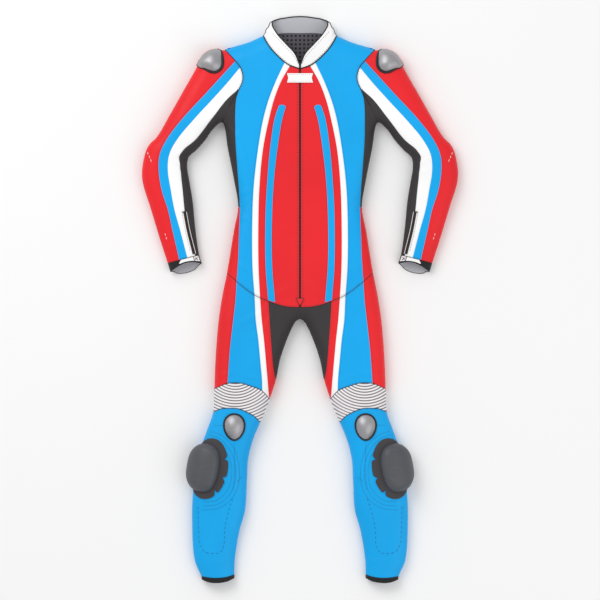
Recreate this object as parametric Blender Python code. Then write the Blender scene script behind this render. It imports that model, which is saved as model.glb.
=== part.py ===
"""A one-piece motorcycle race suit laid flat on its back, front up.

+X is the wearer's left, +Y runs from the feet to the collar, and +Z is up from the surface. The origin
is on the surface, under the middle of the suit. Sizes are in millimetres until a mesh is made.

Half of the suit is drawn in plan as (out, up) points: out is the distance from the centre line, up the
distance from the middle of the suit's length. Every outer panel lies on one skin, which stands at a
height given along the suit, rolls down to each side outline and turns under to the surface, where the
flat back pieces close it.
"""

import math

import bmesh
import bpy
import numpy as np

MM = 0.001
WALL = 2.0  # leather with its lining
COLLAR_WALL = 3.0
HALF_GAP = 0.15  # each edge stands back this far from its seam
TIP_WIDTH = 2.5  # a panel that runs to a point is cut off where it is this wide
EDGE_ROLL = 40.0  # plan width over which the front rolls down to the side outline
FLOOR_ROLL = 20.0  # how far the side turns in under the suit
SIDE_SHARE = 0.42  # height of the side outline as a share of the suit's height there
WRAP_STEPS = 3  # facets from the side outline down to the surface
ROLL_FINE = 0.8  # how strongly columns crowd towards a side that rolls over
NEAR_EDGE = 0.5  # closer to an outline than this, the outline's own normal is used
MERGE = 0.02  # points closer than this are made one
LEAST_EDGE = 3.0  # shortest edge in the outline of a back piece
LENGTH_TOP = 764.0  # the collar's back edge; the hem ends as far below the middle

# Height of the suit on the surface: up, height
BODY_HEIGHT = ((-764, 34), (-600, 42), (-450, 48), (-300, 54), (-216, 50), (-50, 52), (75, 48),
               (270, 50), (480, 56), (620, 54), (715, 46))
ARM_HEIGHT = ((70, 32), (120, 36), (270, 44), (390, 48), (480, 56), (620, 54), (715, 46))

# Outlines in plan: out, up. Each runs so that the suit lies to its right.
SHOULDER_POINT = (202, 674)
SHOULDER_NECK = (99, 712)
ARMPIT = (210, 478)
CUFF_OUTER = (357, 99)
CUFF_INNER = (272, 121)
MOUTH_OUTER = (350, 76)
MOUTH_INNER = (265, 99)
WAIST_SIDE = (197, 72)
KNEE_TOP_OUTER = (231, -241)
KNEE_TOP_INNER = (82, -268)
KNEE_LOW_OUTER = (234, -303)
KNEE_LOW_INNER = (107, -330)
HEM_TOP_OUTER = (266, -746)
HEM_TOP_INNER = (177, -741)
HEM_LOW_OUTER = (265, -755)
HEM_LOW_INNER = (177, -751)
CROTCH_POINT = (0, -52)
SHOULDER_LINE = (SHOULDER_NECK, (139, 694), (172, 684), SHOULDER_POINT)
OUTER_ARM = (SHOULDER_POINT, (226, 673), (248, 667), (266, 649), (286, 613), (313, 566), (352, 497),
             (386, 439), (406, 419), (416, 400), (426, 350), (424, 315), (405, 253), (377, 161), CUFF_OUTER,
             MOUTH_OUTER)
INNER_ARM = (MOUTH_INNER, CUFF_INNER, (282, 188), (290, 269), (299, 323), (304, 355), (301, 383), (279, 404),
             (255, 431), (236, 458), ARMPIT)
SIDE = (ARMPIT, (194, 404), (178, 323), (167, 250), (178, 188), WAIST_SIDE, (209, 13), (220, -60),
        (228, -163), KNEE_TOP_OUTER, KNEE_LOW_OUTER, (251, -352), (273, -419), (288, -514), (291, -595),
        (284, -703), HEM_TOP_OUTER, HEM_LOW_OUTER)
INNER_LEG = (HEM_LOW_INNER, HEM_TOP_INNER, (176, -703), (163, -622), (148, -568), (143, -487), (140, -433),
             (127, -379), KNEE_LOW_INNER, KNEE_TOP_INNER, (65, -217), (54, -163), (38, -109), (22, -68),
             CROTCH_POINT)

# Seams in plan: out, up
WHITE_TOP_OUTER = (41, 639)
WHITE_TOP_INNER = (27, 630)
NECK_CENTRE = (0, 621)
WAIST_CENTRE = (0, -21)
NECK_SEAM = (SHOULDER_NECK, (94, 700), (76, 673), WHITE_TOP_OUTER, WHITE_TOP_INNER, NECK_CENTRE)
RED_BLUE_START = (174, 643)
BLUE_WHITE_START = (161, 626)
WHITE_DARK_START = (163, 569)
DARK_TIP = (175, 547)
ARMHOLE = (SHOULDER_POINT, RED_BLUE_START, BLUE_WHITE_START, (154, 604), (155, 588), WHITE_DARK_START,
           DARK_TIP, (189, 522), ARMPIT)
WAIST_SEAM = ((0, -21), (40, -18), (85, -4), (123, 13), (166, 45), WAIST_SIDE)
KNEE_TOP_SEAM = (KNEE_TOP_INNER, (103, -245), (133, -233), (160, -225), (190, -225), (208, -230),
                 KNEE_TOP_OUTER)
KNEE_LOW_SEAM = (KNEE_LOW_INNER, (124, -313), (146, -301), (168, -293), (197, -292), (215, -294),
                 KNEE_LOW_OUTER)
HEM_TOP_SEAM = (HEM_TOP_INNER, (197, -747), (229, -750), HEM_TOP_OUTER)
HEM_LOW_SEAM = (HEM_LOW_INNER, (197, -760), (227, -764), (245, -762), HEM_LOW_OUTER)
WHITE_OUTER = (WHITE_TOP_OUTER, (65, 588), (84, 539), (99, 485), (113, 404), (124, 310), (128, 229),
               (128, 94), (122, 5), (119, -55), (112, -109), (107, -163), (102, -217), (101, -255))
WHITE_INNER = (WHITE_TOP_INNER, (51, 588), (70, 539), (84, 485), (100, 404), (109, 310), (112, 229),
               (112, 94), (107, -1), (103, -55), (97, -109), (92, -163), (87, -217), (86.5, -275))
BLUE_EDGE = (WHITE_DARK_START, (171, 543), (174, 512), (174, 431), (170, 364), (163, 256), (165, 175),
             (167, 107), (171, 50), (174, -1), (180, -55), (189, -136), (196, -235))
STRIPE_OUTER = ((50, 523), (66, 485), (81, 404), (88, 323), (93, 229), (93, 94), (86, 2))
STRIPE_INNER = ((48, 523), (50, 485), (63, 404), (71, 323), (76, 229), (76, 94), (71, -2))
CROTCH_START = (85, -4)
CROTCH_END = (65, -217)
CROTCH_SEAM = (CROTCH_START, (82, -55), (76, -136), (71, -185), CROTCH_END)
RED_BLUE = (RED_BLUE_START, (205, 609), (256, 553), (319, 485), (360, 431), (378, 391), (381, 350),
            (373, 296), (356, 242), (344, 188), (324, 100))
BLUE_WHITE = (BLUE_WHITE_START, (192, 588), (236, 539), (286, 485), (331, 431), (352, 391), (356, 350),
              (348, 296), (338, 242), (323, 188), (300, 100))
WHITE_DARK = (WHITE_DARK_START, (197, 539), (239, 485), (281, 431), (313, 404), (325, 386), (323, 361),
              (316, 296), (309, 229), (293, 161), (279, 108))

# Rows of the torso and sleeve, where they meet the armhole: point, rows since the last one
ARMHOLE_NOTCHES = ((SHOULDER_POINT, 0), (RED_BLUE_START, 2), (BLUE_WHITE_START, 1), ((155, 588), 2),
                   (WHITE_DARK_START, 1), (DARK_TIP, 1), (ARMPIT, 3))
TORSO_INNER = (SHOULDER_NECK, (91, 694), (77, 674), WHITE_TOP_OUTER, WHITE_TOP_INNER, NECK_CENTRE, (0, 540))
SLEEVE_OUTER = (SHOULDER_POINT, (248, 667), (266, 649), (286, 613), (298, 592), (313, 566), (352, 497))
SIDE_TIP = (167, 250)
CENTRE_MIDDLE = (0, 240)
TORSO_LOW_ROWS = 4
TORSO_BOW_FROM = 0.7  # share of the torso's rows after which they bow to fit the waist seam
BLUE_ROW = 2
WHITE_ROW = 3
PIPING_ROW = 5
DARK_ROW = 6
ARMPIT_ROW = 10
ELBOW_OUTER = (421, 380)
ELBOW_INNER = (301, 383)
ELBOW_ROWS = 4
FOREARM_ROWS = 6
THIGH_ROWS = 6
SHIN_OUTER = ((KNEE_LOW_OUTER, 0), ((273, -419), 4), ((291, -560), 4), (HEM_TOP_OUTER, 3))
SHIN_INNER = ((KNEE_LOW_INNER, 0), ((138, -419), 4), ((147, -560), 4), (HEM_TOP_INNER, 3))

# Knee ribs
RIB_CENTRE = (174, -176)
RIB_PITCH = 7.7
RIB_RISE = 1.8
RIB_FIRST = 46.0
RIB_COUNT = 18
RIB_MARGIN = 0.03  # no rib is raised in this share of the panel next to its seams
RIB_SAMPLES = 61

# Cups, pads and sliders: along the outline, in from it
KNEE_CUP = {"centre": (177, -343), "half": (31, 38), "rise": 13.0}
SHOULDER_CUP = {"at": (262, 655), "inset": 32.0, "half": (33, 34), "rise": 14.0}
SLIDER = {"at": (281, -452), "inset": 33.0, "half": (65, 40), "rise": 25.0}
PAD = {"inset": 45.0, "half": (82, 54), "rise": 3.0, "edge_drop": 1.0, "lift": 1.3}
LIFT = 0.8
CUP_RINGS = (0.35, 0.68, 0.86, 1.0)
CUP_POWER = 2.2
CUP_EDGE = 1.5
CUP_WALL = 2.5
CUP_EGG = 0.12
SLIDER_RINGS = (0.3, 0.58, 0.82, 1.0)
SLIDER_RISES = (0.99, 0.95, 0.8, 0.3, 1.0)  # at each ring, then at the pole
SLIDER_SPOKES = 24

# Zip and small flat pieces
ZIP_HALF = 2.5
ZIP_RISE = 1.0
TAB_HALF = (35.0, 12.0)
TAB_CENTRE = 597.0
PATCH_TOP = 4.0
PATCH_LOW = -15.0
PATCH_HALF = 11.0
PATCH_THICK = 1.5
TAB_THICK = 2.0
STRIPE_THICK = 1.2
STRIPE_STEPS = 12
ZIP_STEPS = 16
ZIP_END_GAP = 1.0
SLEEVE_ZIP = ((311, 237), (302, 188), (286, 123))
SLEEVE_ZIP_HALF = 3.5
SLEEVE_ZIP_STEPS = 5
CUFF_LIP_RISE = 13.0
CUFF_BACK_DROP = 14.0
CUFF_COLUMNS = 8
CUFF_TAB_SPAN = slice(3, 8)
CUFF_TAB_ENDS = (0.12, 0.88)
HEM_BACK_DROP = 4.0
LINING_THICK = 1.0
LINING = ((78, 703), (60, 711), (0, 717), (-60, 711), (-78, 703), (-45, 600), (45, 600))

# Collar, from the centre front round to the centre back. A height is over the surface, or over the front
# panels where it says so.
COLLAR_STEPS = 9
COLLAR_CLEAR = 0.7
COLLAR_END_GAP = 1.5
COLLAR_BACK_BASE = ((92, 705, 5), (84, 708, 0), (66, 716, 0), (40, 719.5, 0), (0, 719.5, 0))
COLLAR_TOP_FRONT = ((1.5, 631, 5), (14, 662, 5), (38, 689, 2), (63, 718, -8))  # over the front panels
COLLAR_TOP_BACK = ((77, 748, 25.4), (60, 757, 5), (40, 760, 0), (20, 763, 0), (0, LENGTH_TOP, 0))

# Back pieces
BACK_NECK = ((0, 718.5), (40, 718.5), (66, 714.5), (84, 705))
BACK_ARMHOLE = ((168, 606), (174, 545))

# Colours: red, green, blue, roughness, metallic
COLOURS = {
    "white": (0.9, 0.9, 0.9, 0.45, 0.0),
    "blue": (0.0, 0.42, 0.86, 0.42, 0.0),
    "red": (0.85, 0.03, 0.04, 0.42, 0.0),
    "dark": (0.045, 0.04, 0.042, 0.6, 0.0),
    "black": (0.008, 0.008, 0.008, 0.6, 0.0),
    "lining": (0.09, 0.08, 0.09, 0.85, 0.0),
    "stretch": (0.75, 0.75, 0.76, 0.7, 0.0),
    "metal": (0.5, 0.5, 0.52, 0.3, 0.9),
    "slider": (0.07, 0.075, 0.085, 0.5, 0.0),
}


def smooth(points, steps=7):
    """A centripetal Catmull-Rom curve through the points, as a dense array."""
    p = np.array(points, float)
    p = np.vstack([2 * p[0] - p[1], p, 2 * p[-1] - p[-2]])
    chords = np.linalg.norm(np.diff(p, axis=0), axis=1)
    knot = np.concatenate([[0], np.cumsum(np.sqrt(chords))])

    def mix(first, second, low, high, t):
        return ((high - t) * first + (t - low) * second) / (high - low)

    pieces = []
    for i in range(1, len(p) - 2):
        k0, k1, k2, k3 = knot[i - 1:i + 3]
        t = np.linspace(k1, k2, steps, endpoint=False)[:, None]
        a1 = mix(p[i - 1], p[i], k0, k1, t)
        a2 = mix(p[i], p[i + 1], k1, k2, t)
        a3 = mix(p[i + 1], p[i + 2], k2, k3, t)
        b1 = mix(a1, a2, k0, k2, t)
        b2 = mix(a2, a3, k1, k3, t)
        pieces.append(mix(b1, b2, k1, k2, t))
    pieces.append(p[-2:-1])
    return np.vstack(pieces)


class Line:
    """A smooth curve in plan, measured along its length like a tape."""

    def __init__(self, points):
        self.points = smooth(points)
        steps = np.linalg.norm(np.diff(self.points, axis=0), axis=1)
        self.tape = np.concatenate([[0], np.cumsum(steps)])

    def at(self, length):
        out = np.interp(length, self.tape, self.points[:, 0])
        up = np.interp(length, self.tape, self.points[:, 1])
        return np.stack([out, up], axis=-1)

    def place(self, point):
        """The tape reading nearest to a point."""
        start, step = self.points[:-1], np.diff(self.points, axis=0)
        t = ((np.array(point, float) - start) * step).sum(1) / (step * step).sum(1)
        t = np.clip(t, 0, 1)
        away = np.linalg.norm(start + t[:, None] * step - point, axis=1)
        best = int(np.argmin(away))
        return self.tape[best] + t[best] * (self.tape[best + 1] - self.tape[best])

    def outward(self, length, reach=5.0):
        """The unit normal on the left of the way the line runs."""
        run = self.at(np.add(length, reach)) - self.at(np.subtract(length, reach))
        run /= np.linalg.norm(run, axis=-1, keepdims=True)
        return np.stack([-run[..., 1], run[..., 0]], axis=-1)

    def up_at(self, out):
        order = np.argsort(self.points[:, 0])
        return np.interp(out, self.points[order, 0], self.points[order, 1])


def joined(*parts):
    """One list of points from several that share their ends."""
    points = list(parts[0])
    for part in parts[1:]:
        points += list(part[1:])
    return points


TOP_OUTLINE = Line(joined(SHOULDER_LINE, OUTER_ARM))
SIDE_OUTLINE = Line(joined(INNER_ARM, SIDE))
LEG_OUTLINE = Line(INNER_LEG)
OUTLINES = (TOP_OUTLINE, SIDE_OUTLINE, LEG_OUTLINE)
WAIST_LINE = Line(WAIST_SEAM)


def height_at(up, arm):
    table = np.array(ARM_HEIGHT if arm else BODY_HEIGHT, float)
    return np.interp(up, table[:, 0], table[:, 1])


def nearest_outline(plan):
    """Distance to the nearest outline and the unit direction towards it."""
    flat = plan.reshape(-1, 2)
    best = np.full(len(flat), 1e9)
    away = np.zeros_like(flat)
    for line in OUTLINES:
        start, step = line.points[:-1], np.diff(line.points, axis=0)
        rel = flat[:, None] - start[None]
        t = np.clip((rel * step).sum(2) / (step * step).sum(1), 0, 1)
        gap = start[None] + t[..., None] * step[None] - flat[:, None]
        size = np.linalg.norm(gap, axis=2)
        pick = np.argmin(size, axis=1)
        rows = np.arange(len(flat))
        near = size[rows, pick]
        towards = gap[rows, pick] / np.maximum(near, 1e-9)[:, None]
        tape = line.tape[pick] + t[rows, pick] * np.diff(line.tape)[pick]
        towards = np.where(near[:, None] < NEAR_EDGE, line.outward(tape), towards)
        closer = near < best
        best[closer] = near[closer]
        away[closer] = towards[closer]
    return best.reshape(plan.shape[:-1]), away.reshape(plan.shape)


def skin(plan, arm=False):
    """Points and normals of the suit's outer skin over plan points.

    The roll to the outline is a quarter of an ellipse, EDGE_ROLL wide, from the side height to the top.
    """
    plan = np.asarray(plan, float)
    gap, away = nearest_outline(plan)
    high = height_at(plan[..., 1], arm)
    side = SIDE_SHARE * high
    short = 1 - np.clip(gap / EDGE_ROLL, 0, 1)
    rise = np.sqrt(1 - short * short)
    points = np.concatenate([plan, (side + (high - side) * rise)[..., None]], axis=-1)
    flat = away * ((high - side) * short)[..., None]
    normals = np.concatenate([flat, (EDGE_ROLL * rise)[..., None]], axis=-1)
    return points, normals / np.linalg.norm(normals, axis=-1, keepdims=True)


def wrapped(edge, outward, arm, turns):
    """Points and normals on the quarter ellipse under an outline, for turns from 0 to 90 degrees."""
    side = SIDE_SHARE * height_at(edge[..., 1], arm)
    plan = edge - outward * FLOOR_ROLL * (1 - np.cos(turns))[..., None]
    points = np.concatenate([plan, (side * (1 - np.sin(turns)))[..., None]], axis=-1)
    flat = outward * (np.cos(turns) / FLOOR_ROLL)[..., None]
    down = -(np.sin(turns) / side)[..., None]
    normals = np.concatenate([flat, down], axis=-1)
    return points, normals / np.linalg.norm(normals, axis=-1, keepdims=True)


def plan_inset(inset, rise):
    """The plan distance in from an outline for a distance measured over the roll."""
    turn = np.linspace(0, 0.5 * math.pi, 31)
    plan, up = EDGE_ROLL * (1 - np.cos(turn)), rise * np.sin(turn)
    tape = np.concatenate([[0], np.cumsum(np.hypot(np.diff(plan), np.diff(up)))])
    return np.interp(inset, tape, plan) + np.maximum(inset - tape[-1], 0)


def around(line, tape, inset, arm=False):
    """The skin at a distance over it from an outline; a negative distance goes round and under."""
    edge, outward = line.at(tape), line.outward(tape)
    rise = (1 - SIDE_SHARE) * float(np.mean(height_at(edge[..., 1], arm)))
    over, over_normal = skin(edge - outward * plan_inset(inset, rise)[..., None], arm)
    turns = np.clip(-inset / FLOOR_ROLL, 0, 0.5 * math.pi)
    under, under_normal = wrapped(edge, outward, arm, turns)
    below = (inset < 0)[..., None]
    return np.where(below, under, over), np.where(below, under_normal, over_normal)


class Zone:
    """Rows of the suit between an outer line and an inner line, bowed to fit curved seams."""

    def __init__(self, outer, inner, top=None, low=None, low_from=0.0, arm=False):
        self.outer, self.inner = np.array(outer, float), np.array(inner, float)
        self.top, self.low, self.low_from, self.arm = top, low, low_from, arm
        self.count = len(self.outer)

    def bow(self, line, row, share):
        """How far a seam lies above its chord, along the row."""
        first, last = self.outer[row], self.inner[row]
        spot = first + np.asarray(share)[..., None] * (last - first)
        return line.up_at(spot[..., 0]) - spot[..., 1]

    def at(self, row, share):
        share = np.asarray(share, float)
        plan = self.outer[row] + share[..., None] * (self.inner[row] - self.outer[row])
        part = row / (self.count - 1)
        lift = np.zeros_like(share)
        if self.top is not None:
            lift += (1 - part) * self.bow(self.top, 0, share)
        if self.low is not None and part > self.low_from:
            weight = (part - self.low_from) / (1 - self.low_from)
            lift += weight * self.bow(self.low, self.count - 1, share)
        plan[..., 1] += lift
        return plan

    def crossing(self, row, seam, missing):
        """The share along a row at which a seam crosses it."""
        share = np.linspace(0, 1, 41)
        path = self.at(row, share)
        a, r = path[:-1, None], np.diff(path, axis=0)[:, None]
        c, q = seam.points[None, :-1], np.diff(seam.points, axis=0)[None]
        cross = r[..., 0] * q[..., 1] - r[..., 1] * q[..., 0]
        cross = np.where(np.abs(cross) < 1e-9, 1e-9, cross)
        gap = c - a
        t = (gap[..., 0] * q[..., 1] - gap[..., 1] * q[..., 0]) / cross
        u = (gap[..., 0] * r[..., 1] - gap[..., 1] * r[..., 0]) / cross
        hits = np.argwhere((t >= 0) & (t <= 1) & (u >= 0) & (u <= 1))
        if not len(hits):
            return missing
        i, j = hits[0]
        return (i + t[i, j]) / (len(share) - 1)


def notched(line, notches):
    """Points along a line with the given number of equal steps between its notches."""
    tapes = [line.place(notches[0][0])]
    for point, rows in notches[1:]:
        tapes += list(np.linspace(tapes[-1], line.place(point), rows + 1)[1:])
    return line.at(np.array(tapes))


def with_counts(points):
    """The points with the armhole's number of rows before each."""
    return [(point, rows) for point, (_, rows) in zip(points, ARMHOLE_NOTCHES)]


def torso_zone():
    """Rows from the armhole and the side to the neck and the centre front."""
    armhole = notched(Line(ARMHOLE), ARMHOLE_NOTCHES)
    side = notched(SIDE_OUTLINE, ((ARMPIT, 0), (SIDE_TIP, TORSO_LOW_ROWS), (WAIST_SIDE, TORSO_LOW_ROWS)))
    neck_rows = with_counts(TORSO_INNER)
    neck = notched(Line(NECK_SEAM), neck_rows[:-1])
    centre = np.linspace(TORSO_INNER[-2], TORSO_INNER[-1], neck_rows[-1][1] + 1)[1:]
    middle = np.linspace(TORSO_INNER[-1], CENTRE_MIDDLE, TORSO_LOW_ROWS + 1)[1:]
    low = np.linspace(CENTRE_MIDDLE, WAIST_CENTRE, TORSO_LOW_ROWS + 1)[1:]
    inner = np.vstack([neck, centre, middle, low])
    outer = np.vstack([armhole, side[1:]])
    return Zone(outer, inner, low=WAIST_LINE, low_from=TORSO_BOW_FROM)


def sleeve_zone():
    """Rows across the sleeve, from the armhole to the cuff."""
    outer_rows = with_counts(SLEEVE_OUTER) + [(ELBOW_OUTER, ELBOW_ROWS), (CUFF_OUTER, FOREARM_ROWS)]
    outer = notched(TOP_OUTLINE, outer_rows)
    armhole = notched(Line(ARMHOLE), ARMHOLE_NOTCHES)
    inner = notched(SIDE_OUTLINE, ((ARMPIT, 0), (ELBOW_INNER, ELBOW_ROWS), (CUFF_INNER, FOREARM_ROWS)))
    return Zone(outer, np.vstack([armhole, inner[1:]]), arm=True)


def thigh_zone():
    """Rows across the thigh, from the waist seam to the knee."""
    outer = notched(SIDE_OUTLINE, ((WAIST_SIDE, 0), (KNEE_TOP_OUTER, THIGH_ROWS)))
    seam = notched(Line(CROTCH_SEAM), ((CROTCH_START, 0), (CROTCH_END, THIGH_ROWS - 1)))
    return Zone(outer, np.vstack([seam, [KNEE_TOP_INNER]]), top=WAIST_LINE, low=Line(KNEE_TOP_SEAM))


def shin_zone():
    """Rows across the lower leg, from the knee to the hem."""
    outer, inner = notched(SIDE_OUTLINE, SHIN_OUTER), notched(LEG_OUTLINE, SHIN_INNER)
    return Zone(outer, inner, top=Line(KNEE_LOW_SEAM), low=Line(HEM_TOP_SEAM))


def spread(count, sides):
    """Shares from 0 to 1, closer together towards the sides that roll over."""
    even = np.linspace(0, 1, count + 1)
    if sides == "outer":
        rolled = 1 - np.cos(0.5 * math.pi * even)
    elif sides == "inner":
        rolled = np.sin(0.5 * math.pi * even)
    elif sides == "both":
        rolled = 0.5 - 0.5 * np.cos(math.pi * even)
    else:
        return even
    return ROLL_FINE * rolled + (1 - ROLL_FINE) * even


def edge_wrap(line, edge, arm):
    """Wrap points from an outline down to the surface, one row for each edge point."""
    tape = np.array([line.place(point) for point in edge])
    turns = np.linspace(0, 0.5 * math.pi, WRAP_STEPS + 1)[1:]
    shape = (len(edge), WRAP_STEPS)
    outward = np.broadcast_to(line.outward(tape)[:, None], shape + (2,))
    edges = np.broadcast_to(np.asarray(edge)[:, None], shape + (2,))
    return wrapped(edges, outward, arm, np.broadcast_to(turns, shape))


def thick(points, normals):
    """Outer and inner points of a wall on the skin."""
    return points, points - normals * WALL


def laid_on(points, normals, wall):
    """Outer and inner points of a piece that lies on a panel."""
    return points + normals * (LIFT + wall), points + normals * LIFT


def panel_wall(zone, rows, bounds, shares, outer_line=None, inner_line=None, top_line=None):
    """The wall of a panel: its rows between two bounds, with the wraps of the outlines it reaches."""
    plan = []
    for row in rows:
        first, last = bounds(row)
        plan.append(zone.at(row, first + (last - first) * shares))
    plan = np.array(plan)
    points, normals = skin(plan, zone.arm)
    if top_line is not None:
        under = edge_wrap(top_line, plan[0], zone.arm)
        points, normals = (np.concatenate([np.flip(np.swapaxes(u, 0, 1), 0), whole], axis=0)
                           for u, whole in zip(under, (points, normals)))
    if outer_line is not None:
        under = edge_wrap(outer_line, plan[:, 0], zone.arm)
        points, normals = (np.concatenate([np.flip(u, 1), whole], axis=1)
                           for u, whole in zip(under, (points, normals)))
    if inner_line is not None:
        under = edge_wrap(inner_line, plan[:, -1], zone.arm)
        points, normals = (np.concatenate([whole, u], axis=1) for u, whole in zip(under, (points, normals)))
    widths = np.linalg.norm(plan[:, -1] - plan[:, 0], axis=1)
    return [cut_tips(layer, widths) for layer in thick(points, normals)]


def cut_tips(layer, widths):
    """Slides an end row that has no width towards the next one."""
    layer = layer.copy()
    for end, following in ((0, 1), (-1, -2)):
        if widths[end] < TIP_WIDTH:
            share = (TIP_WIDTH - widths[end]) / (widths[following] - widths[end])
            layer[end] += (layer[following] - layer[end]) * share
    return layer


def shifted(points, following):
    """Points moved half a seam gap towards the ones that follow."""
    step = following - points
    size = np.maximum(np.linalg.norm(step, axis=-1, keepdims=True), 1e-6)
    return points + step * np.minimum(HALF_GAP / size, 0.4)


def stand_back(layer, rows=True, columns=True):
    """Moves the border points of a layer in by half a seam gap."""
    layer = layer.copy()
    ends = ((0, 1), (-1, -2))
    for end, following in ends:
        if rows:
            layer[end] = shifted(layer[end], layer[following])
    for end, following in ends:
        if columns:
            layer[:, end] = shifted(layer[:, end], layer[:, following])
    return layer


def make_object(name, verts, faces, colour, merge=0.0):
    """A named mesh object in metres with its own material and outward faces."""
    mesh = bpy.data.meshes.new(name)
    mesh.from_pydata([tuple(v) for v in np.asarray(verts) * MM], [], faces)
    shell = bmesh.new()
    shell.from_mesh(mesh)
    if merge:
        bmesh.ops.remove_doubles(shell, verts=shell.verts, dist=merge * MM)
    bmesh.ops.delete(shell, geom=[v for v in shell.verts if not v.link_faces], context="VERTS")
    bmesh.ops.recalc_face_normals(shell, faces=shell.faces)
    shell.to_mesh(mesh)
    shell.free()
    mesh.shade_smooth()
    mesh.set_sharp_from_angle(angle=math.radians(40))
    piece = bpy.data.objects.new(name, mesh)
    bpy.data.collections["motorcycle_suit"].objects.link(piece)
    red, green, blue, roughness, metallic = COLOURS[colour]
    material = bpy.data.materials.new(name)
    material.use_nodes = True
    shader = material.node_tree.nodes["Principled BSDF"]
    shader.inputs["Base Color"].default_value = (red, green, blue, 1)
    shader.inputs["Roughness"].default_value = roughness
    shader.inputs["Metallic"].default_value = metallic
    mesh.materials.append(material)


def wall_faces(outer, closed, mask):
    """Quads of two like grids, the outer one given, and triangles of the rim round them.

    closed joins the last column to the first, and mask tells which cells of the grid there are. The rim's
    triangles turn the same way on both sides of a seam.
    """
    rows, columns = outer.shape[:2]
    half = rows * columns
    faces = []
    open_edges = {}
    for i in range(rows - 1):
        for j in range(columns if closed else columns - 1):
            if mask is not None and not mask[i, j]:
                continue
            k = (j + 1) % columns
            cell = (i * columns + j, i * columns + k, (i + 1) * columns + k, (i + 1) * columns + j)
            faces.append(cell)
            faces.append(tuple(corner + half for corner in reversed(cell)))
            for edge in zip(cell, cell[1:] + cell[:1]):
                key = frozenset(edge)
                if open_edges.pop(key, None) is None:
                    open_edges[key] = edge
    order = (outer[..., 1] + 0.01 * np.abs(outer[..., 0])).reshape(-1)
    for a, b in open_edges.values():
        if order[a] < order[b]:
            faces += [(b, a, a + half), (b, a + half, b + half)]
        else:
            faces += [(b, a, b + half), (a, a + half, b + half)]
    return faces


def add_wall(name, outer, inner, colour, side=1, closed=False, mask=None, merge=0.0):
    """One closed wall from its outer and inner grids, mirrored for the wearer's right."""
    verts = np.concatenate([outer.reshape(-1, 3), inner.reshape(-1, 3)])
    verts[:, 0] *= side
    make_object(name, verts, wall_faces(outer, closed, mask), colour, merge)


def add_panel(name, layers, colour):
    """The wearer's left and right copies of a panel."""
    outer, inner = (stand_back(layer) for layer in layers)
    for suffix, side in (("_l", 1), ("_r", -1)):
        add_wall(name + suffix, outer, inner, colour, side)


def polygon_inset(outline, inset=HALF_GAP):
    """A closed outline moved inwards."""
    before, after = np.roll(outline, 1, axis=0), np.roll(outline, -1, axis=0)
    run = after - before
    run /= np.linalg.norm(run, axis=1)[:, None]
    inward = np.stack([-run[:, 1], run[:, 0]], axis=1)
    area = np.sum(before[:, 0] * outline[:, 1] - outline[:, 0] * before[:, 1])
    return outline + inward * inset * math.copysign(1, area)


def add_flat(name, outline, colour, side=1, low=0.0, thickness=WALL):
    """A flat piece cut to an outline, from a filled curve."""
    outline = polygon_inset(np.asarray(outline, float)) * (side, 1)
    curve = bpy.data.curves.new(name, "CURVE")
    curve.dimensions = "2D"
    curve.fill_mode = "BOTH"
    curve.extrude = 0.5 * thickness * MM
    spline = curve.splines.new("POLY")
    spline.points.add(len(outline) - 1)
    for point, (out, up) in zip(spline.points, outline):
        point.co = (out * MM, up * MM, 0, 1)
    spline.use_cyclic_u = True
    guide = bpy.data.objects.new(name + "_guide", curve)
    bpy.data.collections["motorcycle_suit"].objects.link(guide)
    bpy.context.view_layer.update()
    flat = bpy.data.meshes.new_from_object(guide.evaluated_get(bpy.context.evaluated_depsgraph_get()))
    verts = np.array([v.co for v in flat.vertices]) / MM + (0, 0, low + 0.5 * thickness)
    faces = [tuple(face.vertices) for face in flat.polygons]
    bpy.data.objects.remove(guide)
    make_object(name, verts, faces, colour, merge=MERGE)


def floor_line(layers, column):
    """The plan points where a panel's wrap reaches the surface."""
    return layers[0][:, column, :2]


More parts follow.
